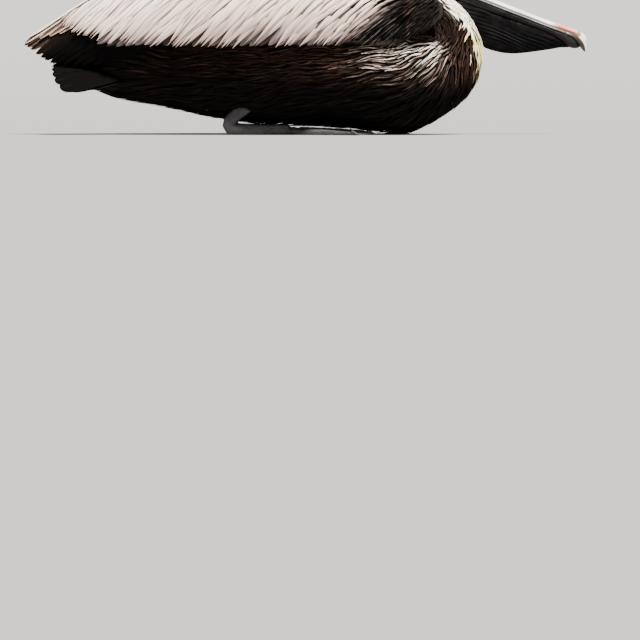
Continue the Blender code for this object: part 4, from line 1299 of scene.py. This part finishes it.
def pouch():
    """Loose skin in fine folds that run along the bill, gathered towards its front end."""
    count = 96
    points, _ = node_triangles("pouch")
    along = (points - np.array(BILL_BASE)) @ BILL_FORWARD
    end = along.max() - 0.0006
    rings = bill_rings("pouch", np.linspace(along.min() + 0.0012, end, 190), count, 2.2, 1.4)
    centre = rings.mean(1, keepdims=True)
    out = rings - centre
    s, drop = rings[..., 0], rings[..., 2]
    fold = np.sin(drop * 1500 + np.sin(s * 70 + drop * 90) * 1.4) + 0.5 * np.sin(drop * 3300 + s * 160 + 1)
    sag = np.sin(s * 150 + drop * 260) * 0.4
    side = np.abs(out[..., 1]) / np.maximum(np.abs(out[..., 1]).max(1, keepdims=True), 1e-4)
    press = 0.00036 * (fold + sag + 1.6) * ease(0.2, 0.7, side)
    rings[..., 1] -= np.sign(out[..., 1]) * np.minimum(press, np.abs(out[..., 1]) * 0.5)
    tuck_in(rings, 0.0014)
    close_end(rings, rings[..., 2].max(1, keepdims=True), end - 0.030, end + 0.0002)
    set_into_head(rings)
    obj = bill_piece("pouch_folds", rings, "pouch", s / BILL_LENGTH, drop * 10 + 0.7, side)
    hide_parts("pouch")
    return ride(obj)


EYE_OPENING = (0.0056, 0.0050)  # half width and half height between the lids
BALL_RADIUS = 0.0074
FACE_SHEET = 0.0016  # thickness of the bare skin
# The bare face reaches this far from the eye, at these angles up from straight ahead (mm).
BARE_TURN = (-180, -135, -90, -60, -38, -25, -12, 2, 14, 30, 60, 90, 135, 180)
BARE_REACH = (9.5, 9.8, 10.6, 14.0, 24.0, 36.0, 41.0, 37.0, 24.0, 14.0, 9.6, 8.6, 8.8, 9.5)


def eye_centre():
    low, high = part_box("eye_left")
    return (low + high) / 2


def bare_reach(turn):
    return np.interp(np.degrees(turn), BARE_TURN, BARE_REACH) / 1000


def bare_face(points):
    """1 well inside the bare skin round the eye, 0 outside it."""
    centre = eye_centre()
    dx, dz = points[:, 0] - centre.x, points[:, 2] - centre.z
    share = np.hypot(dx, dz) / bare_reach(np.arctan2(dz, dx)) + waves(points, 0.0045, 90) * 0.05
    return ease(1.12, 0.92, share) * (np.abs(points[:, 1]) > 0.008)


def face_skin(hull, sign, side):
    """Bare wrinkled skin round the eye, rising to the two lids."""
    centre = eye_centre()
    around, steps = 128, 46
    turn = circle(around)
    turn = np.where(turn > math.pi, turn - 2 * math.pi, turn)
    opening = 1 / np.hypot(np.cos(turn) / EYE_OPENING[0], np.sin(turn) / EYE_OPENING[1])
    reach = bare_reach(turn)
    reach = smooth_rows(np.concatenate([reach[-20:], reach, reach[:20]]), 3.0, 0)[20:-20]
    share = np.linspace(0, 1, steps)[:, None] ** 1.5
    r = opening * (1 - share) + reach * share
    x, z = centre.x + r * np.cos(turn), centre.z + r * np.sin(turn)
    # It stops at the bill's base, which slants as the bill does.
    x = np.minimum(x, BILL_BASE.x - 0.0008 + (z - BILL_BASE.z) * math.tan(BILL_SLOPE))
    y = np.zeros(x.shape)
    for i in range(steps):
        for j in range(around):
            hit = hull.tree.ray_cast(Vector((x[i, j], 0.06, z[i, j])), Vector((0, -1, 0)))
            y[i, j] = hit[0].y if hit[0] else y[i - 1, j]
    y = smooth_rows(y, 1.0, 0) - 0.0006
    ball = BALL_RADIUS + 0.0009
    lid = centre.y + np.sqrt(np.clip(ball**2 - r**2, 1e-8, None))
    lid = np.where(r < ball * 0.97, lid, centre.y - 0.01)
    lid_share = ease(ball * 1.02, ball * 0.72, r)
    y = np.maximum(y, 0) * (1 - lid_share) + np.maximum(lid, y) * lid_share
    # The lids' rims are small rounded rolls.
    rim = 0.00035 * swell(r - opening, 0.0007, 0.0006)
    crease = -0.0004 * swell(r - opening, 0.0026, 0.0006)
    wrinkles = np.sin(r * 2600 + np.sin(turn * 5) * 1.2) * 0.00010 * ease(0.0070, 0.009, r)
    lumps = waves(np.stack([x, y, z], -1).reshape(-1, 3), 0.0028, 70).reshape(x.shape) * 0.00010
    y = y + rim + crease + wrinkles + lumps * ease(0.006, 0.009, r)
    y = y - FACE_SHEET * ease(0.90, 1.0, share)
    # The sheet goes back behind itself, which makes it a closed skin.
    front = np.stack([x, y * sign, z], -1)
    behind = front[::-1] - np.array((0.0, sign * FACE_SHEET, 0.0))
    points = np.concatenate([front, behind]).reshape(-1, 3)
    loops = ring_faces(2 * steps + 1, around) % len(points)
    sizes = np.full(2 * steps * around, 4)
    obj = make_mesh("face_" + side, points, loops, sizes, MATERIALS["face"])
    flip_if_inside_out(obj)
    near = np.clip((r - opening) / 0.01, 0, 1)
    place = np.stack([near, (x - centre.x) / 0.03, np.zeros(x.shape)], -1)
    set_layer(obj.data, "Place", np.concatenate([place, place[::-1]]).reshape(-1, 3))
    return ride(obj)


def eyeball(sign, side):
    """A ball with a slightly bulging clear front; its colours go by the angle from its axis."""
    centre = eye_centre()
    rings, around = 60, 64
    tilt = np.linspace(0.0, math.pi, rings)[1:-1]
    turn = circle(around)[None, :, None]
    bulge = 1 + 0.035 * np.exp(-((tilt / 0.45) ** 4))
    axis = unit(np.array((0.13, 1.0, 0.05)))
    side_way = unit(np.cross(axis, (0, 0, 1)))
    up_way = np.cross(side_way, axis)
    aside = np.cos(turn) * side_way + np.sin(turn) * up_way
    out = np.cos(tilt)[:, None, None] * axis + np.sin(tilt)[:, None, None] * aside
    points = np.array(centre) + out * (BALL_RADIUS * bulge)[:, None, None]
    points[..., 1] *= sign
    place = np.zeros(points.shape)
    place[..., 0] = tilt[:, None] / math.pi
    obj = tube_mesh("eyeball_" + side, points, MATERIALS["eye"], place)
    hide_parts("eye_" + side)
    return ride(obj)


# ---- Feet and legs ----
FOOT_ROOT = (-0.012, 0.052)
FOOT_TURN = math.radians(6.0)
TOES = ((80.0, 0.040, 0.0036), (27.0, 0.072, 0.0044), (-3.0, 0.096, 0.0048), (-31.0, 0.092, 0.0044))
CLAW_LENGTH = 0.011
# The joint between leg and toes, as balls: x, z and radii
ANKLE = (
    (-0.0260, 0.0054, (0.0100, 0.0066, 0.0062)), (-0.0165, 0.0042, (0.0095, 0.0066, 0.0054)),
    (-0.0070, 0.0030, (0.0090, 0.0060, 0.0040)),
)


def toe_lines(sign):
    """For each toe: its root, its direction, length and radius, on the floor plane."""
    lines = []
    for angle, reach, radius in TOES:
        a = -math.radians(angle) + FOOT_TURN
        way = np.array((math.cos(a), math.sin(a) * sign))
        lines.append((np.array((FOOT_ROOT[0], FOOT_ROOT[1] * sign)), way, reach, radius))
    return lines


def refined_limb(sign, side):
    """The CAD leg and foot, and balls that fill the joint between them, as one fine smooth mesh."""
    joined = bmesh.new()
    for x, z, radii in ANKLE:
        place = Matrix.Translation((x, FOOT_ROOT[1] * sign, z)) @ Matrix.Diagonal((*radii, 1.0))
        bmesh.ops.create_uvsphere(joined, u_segments=24, v_segments=16, radius=1.0, matrix=place)
    for node in ("leg_" + side, "foot_" + side):
        joined.from_mesh(grown(node, 0.0004))
    return remeshed(joined, 0.0011, smooth_rounds=3)


def limb(sign, side):
    """A leg and foot in one skin: rings of scales on the leg, scutes along the toes, and creased webs."""
    mesh = refined_limb(sign, side)
    points = np.empty(len(mesh.vertices) * 3)
    mesh.vertices.foreach_get("co", points)
    points, normals = points.reshape(-1, 3), np.array([v.normal for v in mesh.vertices])
    lift, toe_share = np.zeros(len(points)), np.zeros(len(points))
    for root, way, reach, radius in toe_lines(sign):
        off = points[:, :2] - root
        along = off @ way
        aside = np.abs(off @ np.array((-way[1], way[0])))
        near = ease(radius * 1.5, radius * 0.7, aside) * ease(-0.004, 0.004, along)
        near = near * ease(reach + 0.004, reach - 0.002, along)
        lift = np.maximum(lift, near * np.abs(np.sin(along * math.pi / 0.0026)) ** 0.5 * 0.00055)
        toe_share = np.maximum(toe_share, near)
    leg = ease(FOOT_ROOT[0] - 0.004, FOOT_ROOT[0] - 0.012, points[:, 0])
    run = np.where(points[:, 2] > 0.017, points[:, 2], points[:, 0])
    facing = ease(0.2, 0.8, np.abs(normals[:, 2]))
    ring = 0.0004 * np.abs(np.sin(run * math.pi / 0.0031)) ** 0.5 * facing * leg
    crease = waves(points, 0.0035, 80) * 0.00012 + waves(points, 0.0016, 81) * 0.00006
    up = ease(0.0003, 0.0014, points[:, 2])
    points = points + normals * ((lift + ring + crease * (1 - toe_share)) * up)[:, None]
    points[:, 2] = np.maximum(points[:, 2], 0.0)
    mesh.vertices.foreach_set("co", points.ravel())
    bony = np.maximum(toe_share, leg)
    set_layer(mesh, "Place", np.stack([bony, points[:, 2] * 50, lift * 1000], -1))
    mesh.materials.clear()
    mesh.materials.append(MATERIALS["foot"])
    mesh.shade_smooth()
    obj = add_object("limb_" + side, mesh)
    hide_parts("leg_" + side, "foot_" + side)
    return ride(obj)


def claws(sign, side):
    """A curved, pointed claw at each toe's end."""
    s, a = np.linspace(0, 1, 10)[:-1, None], circle(12)
    for number, (root, way, reach, radius) in enumerate(toe_lines(sign)):
        along = reach - 0.002 + CLAW_LENGTH * (0.9 if number else 0.75) * s
        size = radius * 0.52 * (1 - s) ** 0.7 + 0.00025
        height = radius * 0.85 * (1 - s**1.7) + 0.0006
        rings = np.empty((len(s), len(a), 3))
        aside = np.array((-way[1], way[0]))
        rings[..., :2] = root + way * along[..., None] + aside * (np.cos(a) * size * 0.8)[..., None]
        rings[..., 2] = np.maximum(height + np.sin(a) * size, 0.0003)
        obj = tube_mesh(f"claw_{side}_{number + 1}", rings, MATERIALS["claw"])
        ride(obj)


# ---- Skin ----
WING_DEPTH, FACE_DEPTH = 0.0066, 0.0019  # how deep it lies under the wings' feathers and at the bare face
WING_SKIN, WING_SKIN_DARK, FACE_SKIN = (0.34, 0.26, 0.23), (0.012, 0.009, 0.008), (0.20, 0.15, 0.13)


def skin(hull):
    """The body's one skin, as deep inside the plumage as that is thick, with the plumage's markings."""
    outside = hull.points
    x, z = outside[:, 0], outside[:, 2]
    wing, bare = hull.on_wing(points=True), bare_face(outside)
    depth = np.where(wing, WING_DEPTH, plumage_sizes(outside)[3] * 0.95 + 0.0006)
    points = outside - hull.normals * mix(depth, FACE_DEPTH, bare)[:, None]
    points[:, 2] = np.maximum(points[:, 2], OVER_FLOOR)
    tint, rim = body_colours(outside)
    down = mix(tint, rim, 0.6) * 0.75
    # Under the wings' feathers it is pale at the back, dark ahead, as the coverts there are, and dark along
    # the lower edge as painted shade in the gaps between the coverts' tips.
    dark = np.maximum(ease(0.02, 0.08, x) * ease(0.215, 0.190, z), ease(0.130, 0.120, z))
    quill_base = blend_colour(colours(WING_SKIN, len(points)), WING_SKIN_DARK, dark)
    down = blend_colour(np.where(wing[:, None], quill_base, down), FACE_SKIN, bare)
    obj = make_mesh("skin", points, hull.faces.ravel(), np.full(len(hull.faces), 4), MATERIALS["down"])
    set_layer(obj.data, "Tint", down)
    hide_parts("trunk", "neck_lower", "neck_upper", "head", "wing_left", "wing_right", "tail")
    print("piece skin", len(hull.faces) * 2, "triangles")
    return ride(obj)


# ---- Materials of the bare parts ----
PALE_HORN, HORN_WHITE, RIDGE_TAN = (0.66, 0.63, 0.59), (0.90, 0.88, 0.84), (0.50, 0.44, 0.38)
DARK_HORN, DARK_HORN_PALER = (0.026, 0.022, 0.024), (0.085, 0.072, 0.072)
BLACK_HORN, BLACK_HORN_PALER = (0.0045, 0.004, 0.0045), (0.014, 0.0125, 0.0125)
DEEP_RED, RED_ORANGE, PALE_ORANGE = (0.045, 0.009, 0.004), (0.42, 0.075, 0.018), (0.78, 0.33, 0.16)
OLIVE, NAIL, NAIL_UNDERSIDE = (0.10, 0.085, 0.025), (0.80, 0.74, 0.52), (0.014, 0.010, 0.008)


def horn_grain(name, specular):
    """Horn with grain and blotches drawn out along the bill; its grain is in the roughness and bump too."""
    m = Material(name, 0.42, Specular_IOR_Level=specular)
    along_bill = {"Vector": m.place(), "Scale": (0.12, 1.0, 1.0), "Rotation": (0.0, BILL_SLOPE, 0.0)}
    stretched = m.node("Mapping", along_bill).outputs[0]
    grain, blotch = m.noise(520.0, 4.0, 0.6, stretched), m.noise(70.0, 3.0, 0.6, stretched)
    m.rough(m.remap(grain, 0.3, 0.7, 0.34, 0.55))
    m.bump(grain, 0.35, 0.0006)
    # Places along the bill, up its side, and up from its underside, each from 0 to 1.
    along, up, height = m.parts("Place")
    shift = m.math("MULTIPLY_ADD", m.math("SUBTRACT", blotch, 0.5), 0.06, along)
    red = m.math("MULTIPLY", m.remap(shift, 0.825, 0.875), m.remap(shift, 0.965, 0.945))
    return m, grain, blotch, (along, up, height), shift, red


def flecked(m, base, grain, flecks):
    m.colour(m.mix_colour(m.math("MULTIPLY", m.remap(grain, 0.55, 0.75), 0.35), base, flecks))
    return m.surface


def upper_horn_material():
    """Dark at the sides and pale on top, partly the horn's own colours and partly painted light from above;
    then a red-orange patch, paler on top as painted highlight, an olive ring, and the pale nail, dark under
    its tip as painted shade.
    """
    m, grain, blotch, (along, up, height), shift, red = horn_grain("horn_upper", 0.4)
    # Pale on top and dark at the sides: partly the horn's own colours, partly painted light from above.
    pale = m.fade(blotch, 0.35, 0.65, PALE_HORN, HORN_WHITE)
    dark = m.fade(blotch, 0.3, 0.7, DARK_HORN, DARK_HORN_PALER)
    base = m.fade(m.math("MULTIPLY_ADD", grain, 0.08, up), 0.52, 0.62, dark, pale)
    base = m.mix_colour(m.math("MULTIPLY", m.remap(up, 0.86, 0.95), 0.6), base, RIDGE_TAN)
    # The patch deep red low on the side and pale orange on top, partly painted highlight.
    patch = m.fade(up, 0.70, 0.90, m.fade(up, 0.52, 0.62, DEEP_RED, RED_ORANGE), PALE_ORANGE)
    base = m.mix_colour(m.math("MULTIPLY", red, m.remap(up, 0.44, 0.52, 0.3, 1.0)), base, patch)
    base = m.fade(shift, 0.938, 0.950, base, OLIVE)
    base = m.fade(m.math("MULTIPLY_ADD", grain, 0.03, along), 0.968, 0.985, base, NAIL)
    # Dark under the nail's tip: painted shade.
    under = m.math("MULTIPLY", m.remap(along, 0.90, 0.95), m.remap(height, 0.58, 0.42))
    base = m.mix_colour(under, base, NAIL_UNDERSIDE)
    return flecked(m, base, grain, (0.10, 0.07, 0.055))


def lower_horn_material():
    """Nearly black, with a trace of red beside the upper bill's patch."""
    m, grain, blotch, _, _, red = horn_grain("horn_lower", 0.15)
    base = m.fade(blotch, 0.35, 0.65, BLACK_HORN, BLACK_HORN_PALER)
    base = m.mix_colour(m.math("MULTIPLY", red, 0.15), base, (0.030, 0.010, 0.007))
    return flecked(m, base, grain, (0.03, 0.024, 0.02))


def pouch_material():
    m = Material("pouch", 0.6, Specular_IOR_Level=0.03)
    blotch, fine = m.noise(60.0, 4.0), m.noise(700.0, 3.0)
    m.colour(m.fade(blotch, 0.3, 0.75, (0.0022, 0.0021, 0.0024), (0.0062, 0.0056, 0.0058)))
    m.rough(m.remap(fine, 0.3, 0.7, 0.42, 0.62))
    m.bump(fine, 0.4, 0.0006)
    return m.surface


def face_material():
    """Greyish-pink skin, redder towards the eye, with dark lid rims and fine dark flecks."""
    m = Material("face", 0.5, Specular_IOR_Level=0.35, Subsurface_Weight=0.06, Subsurface_Scale=0.002)
    from_lids = m.parts("Place")[0]
    blotch, fine = m.noise(170.0, 4.0), m.noise(900.0, 3.0)
    base = m.fade(blotch, 0.3, 0.7, (0.13, 0.095, 0.10), (0.29, 0.19, 0.18))
    base = m.fade(from_lids, 0.22, 0.06, base, (0.42, 0.22, 0.18))
    base = m.fade(from_lids, 0.05, 0.0, base, (0.03, 0.022, 0.02))
    m.colour(m.mix_colour(m.math("MULTIPLY", m.remap(fine, 0.55, 0.8), 0.5), base, (0.08, 0.055, 0.055)))
    m.bump(fine, 0.5, 0.0006)
    return m.surface


def eye_material():
    """From the axis out: a black pupil, a pale iris with fine rays, and its dark edge."""
    m = Material("eye", 0.06, Specular_IOR_Level=0.5, Coat_Weight=1.0, Coat_Roughness=0.02)
    from_axis = m.parts("Place")[0]
    iris = m.fade(m.noise(900.0, 2.0), 0.35, 0.7, (0.62, 0.55, 0.40), (0.80, 0.77, 0.66))
    iris = m.fade(from_axis, 0.175, 0.215, iris, (0.30, 0.22, 0.14))
    iris = m.fade(from_axis, 0.225, 0.25, iris, (0.05, 0.03, 0.025))
    m.colour(m.fade(from_axis, 0.122, 0.112, iris, (0.002, 0.002, 0.002)))
    return m.surface


def foot_material():
    """Dark grey, paler on the bony parts, with a net of fine dark lines."""
    m = Material("foot", 0.55, Specular_IOR_Level=0.4)
    bony = m.parts("Place")[0]
    net = m.node("TexVoronoi", {"Vector": m.place(), "Scale": 520.0}, feature="DISTANCE_TO_EDGE").outputs[0]
    base = m.fade(m.noise(90.0, 4.0), 0.3, 0.7, (0.020, 0.020, 0.023), (0.060, 0.057, 0.060))
    base = m.mix_colour(m.math("MULTIPLY", bony, 0.35), base, (0.085, 0.080, 0.082))
    m.colour(m.fade(net, 0.10, 0.0, base, (0.012, 0.011, 0.012)))
    m.bump(m.remap(net, 0.0, 0.2), 0.5, 0.0006)
    return m.surface


def claw_material():
    m = Material("claw", 0.35, Specular_IOR_Level=0.5)
    grain = m.noise(600.0, 3.0)
    m.colour(m.fade(grain, 0.3, 0.7, (0.012, 0.010, 0.010), (0.05, 0.043, 0.04)))
    m.bump(grain, 0.2, 0.0004)
    return m.surface


def make_materials():
    return {
        "plume": plumage_material("plume", 0.16, 0.05),
        "covert": plumage_material("covert", 0.30, 0.07),
        "quill": plumage_material("quill", 0.14, 0.12, shaft=0.8),
        "down": skin_material(),
        "horn_upper": upper_horn_material(),
        "horn_lower": lower_horn_material(),
        "pouch": pouch_material(),
        "face": face_material(),
        "eye": eye_material(),
        "foot": foot_material(),
        "claw": claw_material(),
    }


# ---- Stage ----
VIEW_WIDTH = 0.83117  # how much the view takes in at the bird's plane of symmetry
CAMERA_DISTANCE, CAMERA_HEIGHT = 4.5, 0.05
VIEW_CENTRE = Vector((0.0195, 0.0, -0.2416))  # the middle of the view, in the plane of symmetry
FLOOR_FLAT, FLOOR_RADIUS, FLOOR_RISE = 5.2, 12.0, 0.9  # it has risen by the last one 3.2 m past the flat
FLOOR_GREY = (0.255, 0.255, 0.253, 1.0)
SKY_COLOUR, SKY_STRENGTH = (0.86, 0.91, 1.0, 1.0), 0.34
SUN_COLOUR, SUN_STRENGTH, SUN_WIDTH = (1.0, 0.965, 0.91), 16.5, math.radians(9)
SUN_FROM = Vector((0.9, -1.5, 3.2))


def stage():
    """A round pale floor that rises gently far out, so that no horizon shows, and one soft high key light."""
    turns = 96
    outer = np.linspace(FLOOR_FLAT, FLOOR_RADIUS, 36)
    profile = [(r, 0.0) for r in (0.6, 2.0, 4.0)]
    profile += [(r, ((r - FLOOR_FLAT) / 3.2) ** 2.4 * FLOOR_RISE) for r in outer]
    a = circle(turns)
    rings = np.array([np.stack([np.cos(a) * r, np.sin(a) * r, np.full(turns, z)], -1) for r, z in profile])
    paper = Material("floor", 0.9, Specular_IOR_Level=0.05)
    paper.shader.inputs["Base Color"].default_value = FLOOR_GREY
    loops = np.concatenate([np.arange(turns)[::-1], ring_faces(len(profile), turns)])
    sizes = [turns] + [4] * ((len(profile) - 1) * turns)
    floor = make_mesh("floor", rings.reshape(-1, 3), loops, sizes, paper.surface)

    world = bpy.data.worlds.new("studio")
    bpy.context.scene.world = world
    world.use_nodes = True
    background = world.node_tree.nodes["Background"].inputs
    background["Color"].default_value, background["Strength"].default_value = SKY_COLOUR, SKY_STRENGTH
    light = bpy.data.lights.new("key", "SUN")
    light.energy, light.angle, light.color = SUN_STRENGTH, SUN_WIDTH, SUN_COLOUR
    lamp = add_object("key", light)
    lamp.location = SUN_FROM
    lamp.rotation_euler = (-SUN_FROM).to_track_quat("-Z", "Y").to_euler()


def camera():
    place = Vector((VIEW_CENTRE.x, -CAMERA_DISTANCE, CAMERA_HEIGHT))
    look = VIEW_CENTRE - place
    depth = -place.y * math.cos(math.atan2(-look.z, look.y))
    data = bpy.data.cameras.new("camera")
    data.sensor_width = 36.0
    data.lens = data.sensor_width * depth / VIEW_WIDTH
    data.clip_end = 200.0
    obj = add_object("camera", data)
    obj.location = place
    obj.rotation_euler = look.to_track_quat("-Z", "Y").to_euler()
    bpy.context.scene.camera = obj


def ride(obj):
    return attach(obj, ROOT)


MATERIALS = make_materials()
stage()
camera()
body = Hull()
skin(body)
body_coat(body)
for sign, side in ((1, "left"), (-1, "right")):
    wing_coat(sign, side)
    face_skin(body, sign, side)
    eyeball(sign, side)
    limb(sign, side)
    claws(sign, side)
mantle()
tail()
upper_bill()
lower_bill()
pouch()
